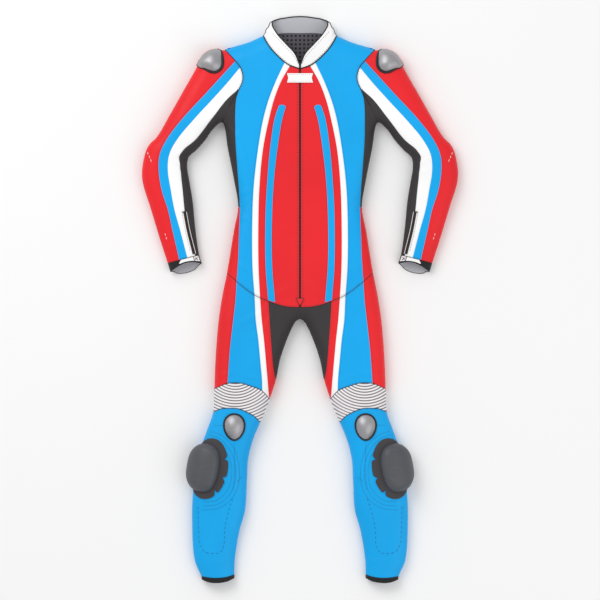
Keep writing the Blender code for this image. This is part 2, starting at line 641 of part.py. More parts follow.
def torso_pieces(zone):
    """The panels from the shoulders to the waist seam; returns those that the back pieces meet."""
    blue_edge, white_out, white_in = Line(BLUE_EDGE), Line(WHITE_OUTER), Line(WHITE_INNER)
    last = zone.count - 1
    tip_row = ARMPIT_ROW + TORSO_LOW_ROWS

    def blue_bounds(row):
        return zone.crossing(row, blue_edge, 0.0), zone.crossing(row, white_out, 1.0)

    def white_bounds(row):
        return zone.crossing(row, white_out, 1.0), zone.crossing(row, white_in, 1.0)

    def side_bounds(row):
        return 0.0, zone.crossing(row, blue_edge, 0.0)

    zip_share = 1 - (ZIP_HALF + 2 * HALF_GAP) / np.maximum(zone.outer[:, 0], 1)

    def centre_bounds(row):
        return zone.crossing(row, white_in, 1.0), zip_share[row] if row > DARK_ROW else 1.0

    crotch_share = 1 - CROTCH_START[0] / zone.outer[last, 0]
    first, end = centre_bounds(last)
    split = (crotch_share - first) / (end - first)
    centre_shares = np.concatenate([[0], np.linspace(split, 1, 4)])
    front_side = panel_wall(zone, range(last + 1), blue_bounds, spread(5, "outer"), top_line=TOP_OUTLINE)
    underarm = panel_wall(zone, range(DARK_ROW, tip_row + 1), side_bounds, spread(3, "outer"))
    shares = spread(3, "outer")
    lower_arm = panel_wall(zone, range(ARMPIT_ROW, tip_row + 1), side_bounds, shares, SIDE_OUTLINE)
    hip = panel_wall(zone, range(tip_row, last + 1), side_bounds, shares, SIDE_OUTLINE)
    piping = panel_wall(zone, range(PIPING_ROW, last + 1), white_bounds, spread(2, "none"))
    centre = panel_wall(zone, range(DARK_ROW, last + 1), centre_bounds, centre_shares)
    add_panel("front_side", front_side, "blue")
    unders = [np.flip(layer[:, :WRAP_STEPS], 1) for layer in lower_arm]
    add_late_wrap("underarm", underarm, unders, ARMPIT_ROW - DARK_ROW, True, "dark")
    add_panel("hip", hip, "red")
    add_panel("front_piping", piping, "white")
    add_panel("front_center", centre, "red")
    return front_side, lower_arm, hip


def add_late_wrap(name, layers, unders, first, at_start, colour):
    """A panel whose edge turns under only from its row first on; above it that edge is a seam."""
    grids = []
    for layer, under in zip(layers, unders):
        top = np.flip(layer, 1) if at_start else layer
        edge = top.shape[1] - 1
        unused = np.repeat(top[:first, edge:], WRAP_STEPS, axis=1)
        grid = stand_back(np.concatenate([top, np.concatenate([unused, under])], axis=1))
        grid[:first + 1, edge] = shifted(grid[:first + 1, edge], grid[:first + 1, edge - 1])
        grid[first, edge + 1:] = shifted(grid[first, edge + 1:], grid[first + 1, edge + 1:])
        grids.append(grid)
    mask = np.ones((grids[0].shape[0] - 1, grids[0].shape[1] - 1), bool)
    mask[:first, edge:] = False
    for suffix, side in (("_l", 1), ("_r", -1)):
        add_wall(name + suffix, grids[0], grids[1], colour, side, mask=mask)


def sleeve_pieces(zone):
    """The four sleeve panels from the armhole to the cuff."""
    seams = [Line(RED_BLUE), Line(BLUE_WHITE), Line(WHITE_DARK)]
    last = zone.count - 1

    def bounds(index):
        def pick(row):
            low = 0.0 if index == 0 else zone.crossing(row, seams[index - 1], 1.0)
            high = 1.0 if index == 3 else zone.crossing(row, seams[index], 1.0)
            return low, high
        return pick

    outer = panel_wall(zone, range(last + 1), bounds(0), spread(4, "outer"), TOP_OUTLINE)
    blue = panel_wall(zone, range(BLUE_ROW, last + 1), bounds(1), spread(2, "none"))
    white = panel_wall(zone, range(WHITE_ROW, last + 1), bounds(2), spread(2, "none"))
    add_panel("sleeve_outer", outer, "red")
    add_panel("sleeve_blue", blue, "blue")
    add_panel("sleeve_white", white, "white")
    shares = spread(3, "inner")
    upper = panel_wall(zone, range(DARK_ROW, last + 1), bounds(3), shares)
    lower = panel_wall(zone, range(ARMPIT_ROW, last + 1), bounds(3), shares, inner_line=SIDE_OUTLINE)
    unders = [layer[:, -WRAP_STEPS:] for layer in lower]
    add_late_wrap("sleeve_inner", upper, unders, ARMPIT_ROW - DARK_ROW, False, "dark")
    return outer, lower


def thigh_pieces(zone):
    """The four thigh panels and the shares where their columns meet the knee seam."""
    blue_edge, white_out, white_in = Line(BLUE_EDGE), Line(WHITE_OUTER), Line(WHITE_INNER)
    last = zone.count - 1
    cuts = [lambda row: 0.0, lambda row: zone.crossing(row, blue_edge, 0.0),
            lambda row: zone.crossing(row, white_out, 1.0), lambda row: zone.crossing(row, white_in, 1.0),
            lambda row: 1.0]
    plans = (("thigh_outer", "red", 3, "outer"), ("thigh_front", "blue", 5, "outer"),
             ("thigh_white", "white", 2, "none"))
    white_in_share = zone.crossing(last, white_in, 1.0)
    columns = []
    layers = []
    for index, (name, colour, count, sides) in enumerate(plans):
        shares = spread(count, sides)
        low, high = cuts[index], cuts[index + 1]
        columns += list(low(last) + (high(last) - low(last)) * shares)
        line = SIDE_OUTLINE if index == 0 else None
        wall = panel_wall(zone, range(last + 1), lambda row: (low(row), high(row)), shares, line)
        add_panel(name, wall, colour)
        layers.append(wall)
    shares = spread(2, "inner")
    columns += list(white_in_share + (1 - white_in_share) * shares)
    upper = panel_wall(zone, range(last + 1), lambda row: (cuts[-2](row), 1.0), shares)
    edge = np.concatenate([zone.at(row, np.array([1.0])) for row in (last - 1, last)])
    unders = thick(*edge_wrap(LEG_OUTLINE, edge, False))
    add_late_wrap("thigh_stripe", upper, unders, last - 1, False, "red")
    return layers[0], unders[0][:, -1, :2], np.unique(np.round(columns, 6))


def crotch_piece(zone):
    """The dark panel between the thighs: a band from its seams to the inner leg outline, turned under."""
    waist_steps = 3
    outs = np.linspace(CROTCH_START[0], ZIP_HALF + 2 * HALF_GAP, waist_steps + 1)[1:]
    outs[-1] = 0
    seam = zone.inner[:THIGH_ROWS][::-1]
    top = np.concatenate([seam, np.stack([outs, WAIST_LINE.up_at(outs)], axis=1)])
    ends = LEG_OUTLINE.at(np.linspace(LEG_OUTLINE.place(CROTCH_END), LEG_OUTLINE.tape[-1], len(top)))
    shares = spread(3, "inner")[:, None, None]
    plan = np.swapaxes(top[None] + (ends - top)[None] * shares, 0, 1)
    points, normals = skin(plan)
    under = edge_wrap(LEG_OUTLINE, ends, False)
    turns = np.linspace(0, 0.5 * math.pi, WRAP_STEPS + 1)[1:]
    middle, down = (np.broadcast_to(np.array(pair, float), (WRAP_STEPS, 2)) for pair in (ends[-1], (0, -1)))
    fixed = wrapped(middle, down, False, turns)
    for layer, end in zip(under, fixed):
        layer[-1] = end
    points, normals = (np.concatenate([whole, u], axis=1) for u, whole in zip(under, (points, normals)))
    normals[-1, :, 0] = 0
    normals /= np.linalg.norm(normals, axis=-1, keepdims=True)
    grids = []
    for layer in thick(points, normals):
        mirrored = np.flip(layer[:-1], 0) * (-1, 1, 1)
        grids.append(stand_back(np.concatenate([layer, mirrored])))
    add_wall("crotch", grids[0], grids[1], "dark", merge=MERGE)
    return points[:, -1, :2]


def knee_piece(columns):
    """The stretch panel above the knee, with its ribs raised along arcs that the seams cut off."""
    zone = Zone((KNEE_TOP_OUTER, KNEE_LOW_OUTER), (KNEE_TOP_INNER, KNEE_LOW_INNER),
                top=Line(KNEE_TOP_SEAM), low=Line(KNEE_LOW_SEAM))
    top, low = zone.at(0, columns), zone.at(1, columns)
    part = np.linspace(0, 1, RIB_SAMPLES)
    paths = top[:, None] + (low - top)[:, None] * part[None, :, None]
    radius = np.linalg.norm(paths - RIB_CENTRE, axis=2)
    rings = RIB_FIRST + 0.5 * RIB_PITCH * np.arange(2 * RIB_COUNT + 1)
    shares = np.array([np.interp(rings, r, part) for r in radius]).T
    shares[0], shares[-1] = 0, 1
    plan = top[None] + (low - top)[None] * shares[..., None]
    raised = (np.arange(len(rings)) % 2 == 1)[:, None] & (shares > RIB_MARGIN) & (shares < 1 - RIB_MARGIN)
    rise = np.where(raised, RIB_RISE, 0.0)
    points, normals = skin(plan)
    outer_edges = notched_edges(SIDE_OUTLINE, plan[:, 0])
    inner_edges = notched_edges(LEG_OUTLINE, plan[:, -1])
    points[:, 0, :2], points[:, -1, :2] = outer_edges, inner_edges
    outer_wrap = edge_wrap(SIDE_OUTLINE, outer_edges, False)
    inner_wrap = edge_wrap(LEG_OUTLINE, inner_edges, False)
    points, normals = (np.concatenate([np.flip(a, 1), whole, b], axis=1)
                       for a, b, whole in zip(outer_wrap, inner_wrap, (points, normals)))
    rise, share = (np.pad(grid, ((0, 0), (WRAP_STEPS, WRAP_STEPS)), mode="edge") for grid in (rise, shares))
    rise[:, 0] = rise[:, -1] = 0
    grids = []
    for layer in thick(points, normals):
        grid = stand_back(layer, rows=False)
        lead = grid[-1] - grid[0]
        lead /= np.linalg.norm(lead, axis=1, keepdims=True)
        grids.append(grid + lead * HALF_GAP * (1 - 2 * share[..., None]))
    grids[0] = grids[0] + normals * rise[..., None]
    for suffix, side in (("_l", 1), ("_r", -1)):
        add_wall("knee_stretch" + suffix, grids[0], grids[1], "stretch", side, merge=MERGE)
    return points[:, 0, :2], points[:, -1, :2]


def notched_edges(line, points):
    """The points moved onto a line."""
    return line.at(np.array([line.place(point) for point in points]))


def shin_piece(zone, columns):
    """The front of the lower leg with both of its sides."""
    wall = panel_wall(zone, range(zone.count), lambda row: (0.0, 1.0), columns, SIDE_OUTLINE, LEG_OUTLINE)
    add_panel("shin", wall, "blue")
    return wall


def ring_wall(zone, back_low, columns, floor_columns, arm, lines):
    """A band round a limb's end: front rows, both wraps, and the part that lies on the surface."""
    plan = np.array([zone.at(row, columns) for row in range(zone.count)])
    points, normals = skin(plan, arm)
    outer_wrap = edge_wrap(lines[0], plan[:, 0], arm)
    inner_wrap = edge_wrap(lines[1], plan[:, -1], arm)
    shares = np.linspace(0, 1, floor_columns + 2)[1:-1]
    start, end = inner_wrap[0][:, -1], outer_wrap[0][:, -1]
    bottom = start[:, None] + (end - start)[:, None] * shares[None, :, None]
    part = np.linspace(0, 1, zone.count)[:, None]
    bottom[..., 1] -= part * back_low * np.sin(math.pi * shares)[None]
    down = np.zeros_like(bottom)
    down[..., 2] = -1
    points = np.concatenate([points, inner_wrap[0], bottom, np.flip(outer_wrap[0], 1)], axis=1)
    normals = np.concatenate([normals, inner_wrap[1], down, np.flip(outer_wrap[1], 1)], axis=1)
    return thick(points, normals)


def hem_piece(columns):
    """The black band round the ankle."""
    zone = Zone((HEM_TOP_OUTER, HEM_LOW_OUTER), (HEM_TOP_INNER, HEM_LOW_INNER),
                top=Line(HEM_TOP_SEAM), low=Line(HEM_LOW_SEAM))
    layers = ring_wall(zone, HEM_BACK_DROP, columns, 3, False, (SIDE_OUTLINE, LEG_OUTLINE))
    outer, inner = (stand_back(layer, columns=False) for layer in layers)
    for suffix, side in (("_l", 1), ("_r", -1)):
        add_wall("ankle_hem" + suffix, outer, inner, "black", side, closed=True)


def cuff_pieces():
    """The cuff, whose front lip is cut back in the middle and whose back reaches past it, and its tab."""
    outs = np.linspace(MOUTH_INNER[0], MOUTH_OUTER[0], CUFF_COLUMNS + 1)
    share = (outs - MOUTH_INNER[0]) / (MOUTH_OUTER[0] - MOUTH_INNER[0])
    ups = MOUTH_INNER[1] + share * (MOUTH_OUTER[1] - MOUTH_INNER[1])
    lip = Line(np.stack([outs, ups + CUFF_LIP_RISE * np.sin(math.pi * share)], axis=1))
    zone = Zone((CUFF_OUTER, MOUTH_OUTER), (CUFF_INNER, MOUTH_INNER), low=lip, arm=True)
    columns = spread(CUFF_COLUMNS, "both")
    layers = ring_wall(zone, CUFF_BACK_DROP, columns, 4, True, (TOP_OUTLINE, SIDE_OUTLINE))
    outer, inner = (stand_back(layer, columns=False) for layer in layers)
    for suffix, side in (("_l", 1), ("_r", -1)):
        add_wall("cuff" + suffix, outer, inner, "black", side, closed=True)
    band = np.array([zone.at(row, columns[CUFF_TAB_SPAN]) for row in range(zone.count)])
    plan = np.array([band[0] + (band[1] - band[0]) * part for part in CUFF_TAB_ENDS])
    outer, inner = laid_on(*skin(plan, True), PATCH_THICK)
    for suffix, side in (("_l", 1), ("_r", -1)):
        add_wall("cuff_tab" + suffix, outer, inner, "white", side)


def pod_faces(rings, spokes):
    """Faces of a lens: a top and a bottom fan of rings about two poles, joined at the rim."""
    faces = []
    half = rings * spokes + 1
    for layer in (0, half):
        for ring in range(rings - 1):
            for j in range(spokes):
                k = (j + 1) % spokes
                base = layer + ring * spokes
                faces.append((base + j, base + k, base + spokes + k, base + spokes + j))
        faces += [(layer + rings * spokes, layer + (j + 1) % spokes, layer + j) for j in range(spokes)]
    rim = (rings - 1) * spokes
    faces += [(rim + j, rim + (j + 1) % spokes, half + rim + (j + 1) % spokes, half + rim + j)
              for j in range(spokes)]
    return faces


def pod_layer(place, centre, rings, heights):
    """Points of rings and a pole on the skin, each moved out by its height."""
    spots = np.concatenate([rings.reshape(-1, 2), [centre]])
    points, normals = place(spots)
    lifts = np.concatenate([np.repeat(heights[:-1], rings.shape[1]), heights[-1:]])
    return points + normals * lifts[:, None]


def add_pod(name, place, centre, rings, low, tops, colour):
    """A cup or pad on the skin from its rings, for both sides; low lies below each top."""
    bottom = pod_layer(place, centre, rings, np.full(len(tops), low))
    top = pod_layer(place, centre, rings, np.asarray(tops, float))
    faces = pod_faces(*rings.shape[:2])
    for suffix, side in (("_l", 1), ("_r", -1)):
        verts = np.concatenate([top, bottom]) * (side, 1, 1)
        make_object(name + suffix, verts, faces, colour)


def ellipse_rings(centre, half, scales, spokes=16, egg=0.0):
    """Rings of an ellipse; egg widens its upper end."""
    angle = np.linspace(0, 2 * math.pi, spokes, endpoint=False)
    wide = 1 + egg * np.sin(angle)
    unit = np.stack([np.cos(angle) * half[0] * wide, np.sin(angle) * half[1]], axis=1)
    return np.array([np.array(centre) + unit * scale for scale in scales])


def cup_tops(rise):
    """Heights of a cup over the skin at each ring, then at the pole."""
    tops = [LIFT + CUP_WALL + rise * (1 - scale ** CUP_POWER) for scale in CUP_RINGS[:-1]]
    return tops + [LIFT + CUP_EDGE, LIFT + CUP_WALL + rise]


def cup_pieces():
    """The knee cups and the shoulder cups."""
    centre = KNEE_CUP["centre"]
    rings = ellipse_rings(centre, KNEE_CUP["half"], CUP_RINGS, egg=CUP_EGG)
    add_pod("knee_cup", skin, centre, rings, LIFT, cup_tops(KNEE_CUP["rise"]), "metal")

    def shoulder(spots):
        return around(TOP_OUTLINE, spots[:, 0], spots[:, 1], True)

    centre = (TOP_OUTLINE.place(SHOULDER_CUP["at"]), SHOULDER_CUP["inset"])
    rings = ellipse_rings(centre, SHOULDER_CUP["half"], CUP_RINGS)
    add_pod("shoulder_cup", shoulder, centre, rings, LIFT, cup_tops(SHOULDER_CUP["rise"]), "metal")


def slider_pieces():
    """The knee sliders on their pads."""
    def knee(spots):
        return around(SIDE_OUTLINE, spots[:, 0], spots[:, 1])

    knee_at = SIDE_OUTLINE.place(SLIDER["at"])
    centre = (knee_at, SLIDER["inset"])
    rings = ellipse_rings(centre, SLIDER["half"], SLIDER_RINGS, SLIDER_SPOKES)
    pad_ring = ellipse_rings((knee_at, PAD["inset"]), PAD["half"], (1.0,), SLIDER_SPOKES)
    between = 0.5 * (rings[-1:] + pad_ring)
    pad_top = PAD["lift"] + PAD["rise"]
    pad_rings = np.concatenate([rings, between, pad_ring])
    tops = [pad_top] * (len(rings) + 1) + [pad_top - PAD["edge_drop"], pad_top]
    add_pod("slider_pad", knee, centre, pad_rings, PAD["lift"], tops, "dark")
    low = pad_top + 2 * HALF_GAP
    tops = [low + SLIDER["rise"] * share for share in SLIDER_RISES]
    add_pod("slider", knee, centre, rings, low, tops, "slider")


def centre_strip(name, ends, half_width, low, high, colour, steps):
    """A strip of constant width on the centre line, with a low and a high face over the skin."""
    ups = np.linspace(*ends, steps)
    tall = height_at(ups, False)
    layers = [np.stack([np.stack([np.full(steps, sign * half_width), ups, tall + lift], axis=1)
                        for sign in (-1, 1)], axis=1) for lift in (high, low)]
    add_wall(name, layers[0], layers[1], colour)


def zip_pieces():
    """The front zip, with the tab and the patch that lie on it."""
    ends = (NECK_CENTRE[1] - ZIP_END_GAP, WAIST_CENTRE[1] + ZIP_END_GAP)
    centre_strip("front_zip", ends, ZIP_HALF, -WALL, ZIP_RISE, "black", ZIP_STEPS)
    seat = ZIP_RISE + 2 * HALF_GAP
    ends = (TAB_CENTRE + TAB_HALF[1], TAB_CENTRE - TAB_HALF[1])
    centre_strip("neck_tab", ends, TAB_HALF[0], seat, seat + TAB_THICK, "white", 3)
    centre_strip("zip_end_patch", (PATCH_TOP, PATCH_LOW), PATCH_HALF, seat, seat + PATCH_THICK, "red", 3)


def laid_strip(name, plan, arm, wall, colour):
    """A strip laid on the panels, for both sides."""
    outer, inner = laid_on(*skin(plan, arm), wall)
    for suffix, side in (("_l", 1), ("_r", -1)):
        add_wall(name + suffix, outer, inner, colour, side)


def strip_pieces():
    """The chest stripes and the forearm zips."""
    inner, outer = Line(STRIPE_INNER), Line(STRIPE_OUTER)
    part = np.linspace(0, 1, STRIPE_STEPS)
    plan = np.stack([inner.at(part * inner.tape[-1]), outer.at(part * outer.tape[-1])], axis=1)
    laid_strip("chest_stripe", plan, False, STRIPE_THICK, "blue")
    line = Line(SLEEVE_ZIP)
    tape = np.linspace(0, line.tape[-1], SLEEVE_ZIP_STEPS)
    middle, across = line.at(tape), line.outward(tape) * SLEEVE_ZIP_HALF
    laid_strip("sleeve_zip", np.stack([middle - across, middle + across], axis=1), True, PATCH_THICK, "dark")


def shares_along(points):
    """How far along a line each of its points lies, from 0 to 1."""
    lengths = np.concatenate([[0], np.cumsum(np.linalg.norm(np.diff(points, axis=0), axis=1))])
    return lengths / lengths[-1]


def collar_piece():
    """The stand-up collar: a loft from the neck seam to its upper edge, round the back, open in front."""
    neck = Line(NECK_SEAM)
    tapes = np.linspace(neck.tape[-1] - COLLAR_END_GAP, 0, COLLAR_STEPS)
    seam, _ = skin(neck.at(tapes))
    seam[:, :2] -= neck.outward(tapes) * COLLAR_CLEAR
    base = np.concatenate([seam, np.array(COLLAR_BACK_BASE, float)])
    front_high = float(height_at(WHITE_TOP_OUTER[1], False))
    top_front = np.array(COLLAR_TOP_FRONT, float) + (0, 0, front_high)
    top = smooth(np.concatenate([top_front, np.array(COLLAR_TOP_BACK, float)]), 12)
    share = shares_along(base)
    top = np.stack([np.interp(share, shares_along(top), top[:, axis]) for axis in range(3)], axis=1)
    half = base[None] + (top - base)[None] * np.linspace(0, 1, 3)[:, None, None]
    outer = np.concatenate([half, np.flip(half[:, :-1], 1) * (-1, 1, 1)], axis=1)
    normals = np.cross(np.gradient(outer, axis=1), np.gradient(outer, axis=0))
    normals /= np.linalg.norm(normals, axis=-1, keepdims=True)
    inner = outer - normals * COLLAR_WALL
    middle = outer.shape[1] // 2
    back = slice(middle - 3, middle + 4)
    inner[:, back, 2] = np.maximum(inner[:, back, 2], COLLAR_WALL)
    add_wall("collar", outer, inner, "white")


def spaced(points):
    """The points of a line that are not nearly on top of the one before, with its last point."""
    kept = [points[0]]
    for point in points[1:]:
        if np.linalg.norm(point - kept[-1]) > LEAST_EDGE:
            kept.append(point)
    kept[-1] = points[-1]
    return np.array(kept)


def torso_backs(front_side, lower_arm, hip, sleeve_outer, sleeve_lower):
    """The flat back and the backs of the sleeves."""
    shoulder = front_side[0][0, ::-1, :2]
    side = np.concatenate([floor_line(lower_arm, 0), floor_line(hip, 0)[1:]])
    sleeve_out, sleeve_in = floor_line(sleeve_outer, 0), floor_line(sleeve_lower, -1)
    armhole = Line((sleeve_out[0], *BACK_ARMHOLE, sleeve_in[0])).points[4:18:4]
    half = np.concatenate([np.array(BACK_NECK, float), shoulder, armhole, side])
    add_flat("back_body", np.concatenate([half, np.flip(half[1:], 0) * (-1, 1)]), "blue")
    sleeve = np.concatenate([sleeve_out, np.flip(sleeve_in, 0), np.flip(armhole, 0)])
    for suffix, side in (("_l", 1), ("_r", -1)):
        add_flat("sleeve_back" + suffix, sleeve, "red", side)


def leg_backs(thigh, stripe_floor, crotch_floor, knee_floor, shin):
    """The flat seat and the backs of the lower legs."""
    half = np.concatenate([floor_line(thigh, 0), stripe_floor[::-1], crotch_floor[1:]])
    add_flat("seat", np.concatenate([half, np.flip(half[:-1], 0) * (-1, 1)]), "blue")
    knee_out, knee_in = (spaced(line) for line in knee_floor)
    calf = np.concatenate([knee_out, floor_line(shin, 0)[1:], np.flip(floor_line(shin, -1), 0),
                           np.flip(knee_in, 0)[1:]])
    for suffix, side in (("_l", 1), ("_r", -1)):
        add_flat("calf" + suffix, calf, "blue", side)


def neck_lining():
    """The mesh lining on the inside of the back, where the neck opening shows it."""
    add_flat("neck_lining", LINING, "lining", low=WALL + 2 * HALF_GAP, thickness=LINING_THICK)


def main():
    """Clears the scene and builds the suit."""
    for old in list(bpy.data.objects):
        bpy.data.objects.remove(old)
    bpy.context.scene.collection.children.link(bpy.data.collections.new("motorcycle_suit"))
    torso = torso_pieces(torso_zone())
    sleeve = sleeve_pieces(sleeve_zone())
    zone = thigh_zone()
    thigh, stripe_floor, columns = thigh_pieces(zone)
    crotch_floor = crotch_piece(zone)
    knee_floor = knee_piece(columns)
    shin = shin_piece(shin_zone(), columns)
    hem_piece(columns)
    cuff_pieces()
    cup_pieces()
    slider_pieces()
    zip_pieces()
    strip_pieces()
    collar_piece()
    torso_backs(*torso, *sleeve)
    leg_backs(thigh, stripe_floor, crotch_floor, knee_floor, shin)
    neck_lining()


main()
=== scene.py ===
"""The looks of a one-piece motorcycle race suit that lies on its back, front up.

Sizes are in millimetres until a mesh is made. Half of the suit is worked out in plan as (out, up) points:
out is the distance from the centre line towards the wearer's left, up the distance from the middle of the
suit's length towards the collar. The other half is its mirror image. Every panel is a thin shell on one
skin, which rolls down to the side outlines and turns under to the surface.
"""

import logging
import math
from dataclasses import dataclass
from enum import Enum
from typing import Callable, Optional, Sequence

import bpy
import numpy as np
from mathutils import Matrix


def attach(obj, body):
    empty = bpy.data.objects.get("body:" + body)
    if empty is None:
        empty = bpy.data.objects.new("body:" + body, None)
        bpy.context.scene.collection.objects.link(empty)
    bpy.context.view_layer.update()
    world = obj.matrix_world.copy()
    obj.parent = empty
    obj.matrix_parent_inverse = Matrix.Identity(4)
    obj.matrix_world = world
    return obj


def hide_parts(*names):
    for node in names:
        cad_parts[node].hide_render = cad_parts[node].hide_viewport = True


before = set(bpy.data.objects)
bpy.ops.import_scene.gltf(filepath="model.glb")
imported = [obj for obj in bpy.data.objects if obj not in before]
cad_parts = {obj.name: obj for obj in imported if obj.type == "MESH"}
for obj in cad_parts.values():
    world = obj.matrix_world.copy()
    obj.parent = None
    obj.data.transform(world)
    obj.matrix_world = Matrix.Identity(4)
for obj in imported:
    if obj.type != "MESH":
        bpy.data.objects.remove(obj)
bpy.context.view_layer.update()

LOG = logging.getLogger("suit")
Array = np.ndarray
Points = Sequence[tuple[float, float]]
Colour = tuple[float, float, float]
Marks = Sequence[tuple[Sequence[float], int]]
Placer = Callable[[Array, Array], tuple[Array, Array]]
Socket = bpy.types.NodeSocket
Material = bpy.types.Material
Piece = bpy.types.Object

MM = 0.001
BODY = "root"
LEATHER_THICK = 1.4
ROW_STEP = 5.0
COLUMN_STEP = 5.0
SEAM_DEPTH = 0.9
SEAM_REACH = 2.6
SEAM_STEPS = (0.0, 0.9, 1.8)
SEAM_FREE = 3.2
WRAP_TURNS = 8
LEAST_WIDTH = 1.2
EDGE_ROLL = 40.0
FLOOR_ROLL = 20.0
SIDE_SHARE = 0.42
NEAR_EDGE = 0.5
CREASE_FADE = 14.0
LENGTH_TOP = 764.0

BODY_HEIGHT = ((-764, 34), (-600, 42), (-450, 48), (-300, 54), (-216, 50), (-50, 52), (75, 48),
               (270, 50), (480, 56), (620, 54), (715, 46))
ARM_HEIGHT = ((70, 32), (120, 36), (270, 44), (390, 48), (480, 56), (620, 54), (715, 46))

SHOULDER_POINT = (202, 674)
SHOULDER_NECK = (99, 712)
ARMPIT = (210, 478)
CUFF_OUTER = (357, 99)
CUFF_INNER = (272, 121)
MOUTH_OUTER = (350, 76)
MOUTH_INNER = (265, 99)
WAIST_SIDE = (197, 72)
KNEE_TOP_OUTER = (231, -241)
KNEE_TOP_INNER = (82, -268)
KNEE_LOW_OUTER = (234, -303)
KNEE_LOW_INNER = (107, -330)
HEM_TOP_OUTER = (266, -746)
HEM_TOP_INNER = (177, -741)
HEM_LOW_OUTER = (265, -755)
HEM_LOW_INNER = (177, -751)
CROTCH_POINT = (0, -52)
SHOULDER_LINE = (SHOULDER_NECK, (139, 694), (172, 684), SHOULDER_POINT)
OUTER_ARM = (SHOULDER_POINT, (226, 673), (248, 667), (266, 649), (286, 613), (313, 566), (352, 497),
             (386, 439), (406, 419), (416, 400), (426, 350), (424, 315), (405, 253), (377, 161), CUFF_OUTER,
             MOUTH_OUTER)
INNER_ARM = (MOUTH_INNER, CUFF_INNER, (282, 188), (290, 269), (299, 323), (304, 355), (301, 383), (279, 404),
             (255, 431), (236, 458), ARMPIT)
SIDE = (ARMPIT, (194, 404), (178, 323), (167, 250), (178, 188), WAIST_SIDE, (209, 13), (220, -60),
        (228, -163), KNEE_TOP_OUTER, KNEE_LOW_OUTER, (251, -352), (273, -419), (288, -514), (291, -595),
        (284, -703), HEM_TOP_OUTER, HEM_LOW_OUTER)
INNER_LEG = (HEM_LOW_INNER, HEM_TOP_INNER, (176, -703), (163, -622), (148, -568), (143, -487), (140, -433),
             (127, -379), KNEE_LOW_INNER, KNEE_TOP_INNER, (65, -217), (54, -163), (37, -112), (20, -73),
             (10, -57), CROTCH_POINT)

WHITE_TOP_OUTER = (41, 639)
WHITE_TOP_INNER = (27, 630)
NECK_CENTRE = (0, 621)
WAIST_CENTRE = (0, -21)
CENTRE_MIDDLE = (0, 240)
CHEST_CENTRE = (0, 540)
NECK_SEAM = (SHOULDER_NECK, (94, 700), (76, 673), WHITE_TOP_OUTER, WHITE_TOP_INNER, NECK_CENTRE)
RED_BLUE_START = (174, 643)
BLUE_WHITE_START = (161, 626)
WHITE_DARK_START = (163, 569)
DARK_TIP = (175, 547)
ARMHOLE = (SHOULDER_POINT, RED_BLUE_START, BLUE_WHITE_START, (154, 604), (155, 588), WHITE_DARK_START,
           DARK_TIP, (189, 522), ARMPIT)
WAIST_SEAM = ((0, -21), (40, -18), (85, -4), (123, 13), (166, 45), WAIST_SIDE)
KNEE_TOP_SEAM = (KNEE_TOP_INNER, (103, -245), (133, -233), (160, -225), (190, -225), (208, -230),
                 KNEE_TOP_OUTER)
KNEE_LOW_SEAM = (KNEE_LOW_INNER, (124, -313), (146, -301), (168, -293), (197, -292), (215, -294),
                 KNEE_LOW_OUTER)
HEM_TOP_SEAM = (HEM_TOP_INNER, (197, -747), (229, -750), HEM_TOP_OUTER)
HEM_LOW_SEAM = (HEM_LOW_INNER, (197, -760), (227, -764), (245, -762), HEM_LOW_OUTER)
WHITE_OUTER = (WHITE_TOP_OUTER, (65, 588), (84, 539), (99, 485), (113, 404), (124, 310), (128, 229),
               (128, 94), (122, 5), (119, -55), (112, -109), (107, -163), (102, -217), (101, -255))
WHITE_INNER = (WHITE_TOP_INNER, (51, 588), (70, 539), (84, 485), (100, 404), (109, 310), (112, 229),
               (112, 94), (107, -1), (103, -55), (97, -109), (92, -163), (87, -217), (84.5, -245),
               (81.5, -275))
BLUE_EDGE = (WHITE_DARK_START, (171, 543), (174, 512), (174, 431), (170, 364), (163, 256), (165, 175),
             (167, 107), (171, 50), (174, -1), (180, -55), (189, -136), (196, -235))
STRIPE_OUTER = ((56, 526), (69, 485), (81, 404), (88, 323), (93, 229), (93, 94), (86, -1))
STRIPE_INNER = ((37, 523), (48, 485), (61, 404), (70, 323), (75, 229), (75, 94), (67, -7))
CROTCH_START = (85, -4)
CROTCH_END = (65, -217)
CROTCH_SEAM = (CROTCH_START, (82, -55), (76, -136), (71, -185), CROTCH_END)
RED_BLUE = (RED_BLUE_START, (205, 609), (256, 553), (319, 485), (360, 431), (378, 391), (381, 350),
            (373, 296), (356, 242), (344, 188), (324, 100))
BLUE_WHITE = (BLUE_WHITE_START, (192, 588), (236, 539), (286, 485), (331, 431), (352, 391), (356, 350),
              (348, 296), (338, 242), (323, 188), (300, 100))
WHITE_DARK = (WHITE_DARK_START, (197, 539), (239, 485), (281, 431), (313, 404), (325, 386), (323, 361),
              (316, 296), (309, 229), (293, 161), (279, 108))
ELBOW_OUTER = (421, 380)
ELBOW_INNER = (301, 383)
SIDE_TIP = (167, 250)

# Rows at which a zone's outer or inner line has a corner: point, row
ARMHOLE_ROWS = ((SHOULDER_POINT, 0), (RED_BLUE_START, 2), (BLUE_WHITE_START, 3), ((155, 588), 5),
                (WHITE_DARK_START, 6), (DARK_TIP, 7), (ARMPIT, 10))
NECK_ROWS = ((SHOULDER_NECK, 0), ((91, 694), 2), ((77, 674), 3), (WHITE_TOP_OUTER, 5), (WHITE_TOP_INNER, 6),
             (NECK_CENTRE, 7))
SLEEVE_ROWS = ((SHOULDER_POINT, 0), ((248, 667), 2), ((266, 649), 3), ((286, 613), 5), ((298, 592), 6),
               ((313, 566), 7), ((352, 497), 10), (ELBOW_OUTER, 14), (CUFF_OUTER, 20))
TORSO_BOW_FROM = 0.7
ZIP_HALF = 2.5
ZIP_CLEAR = 0.3


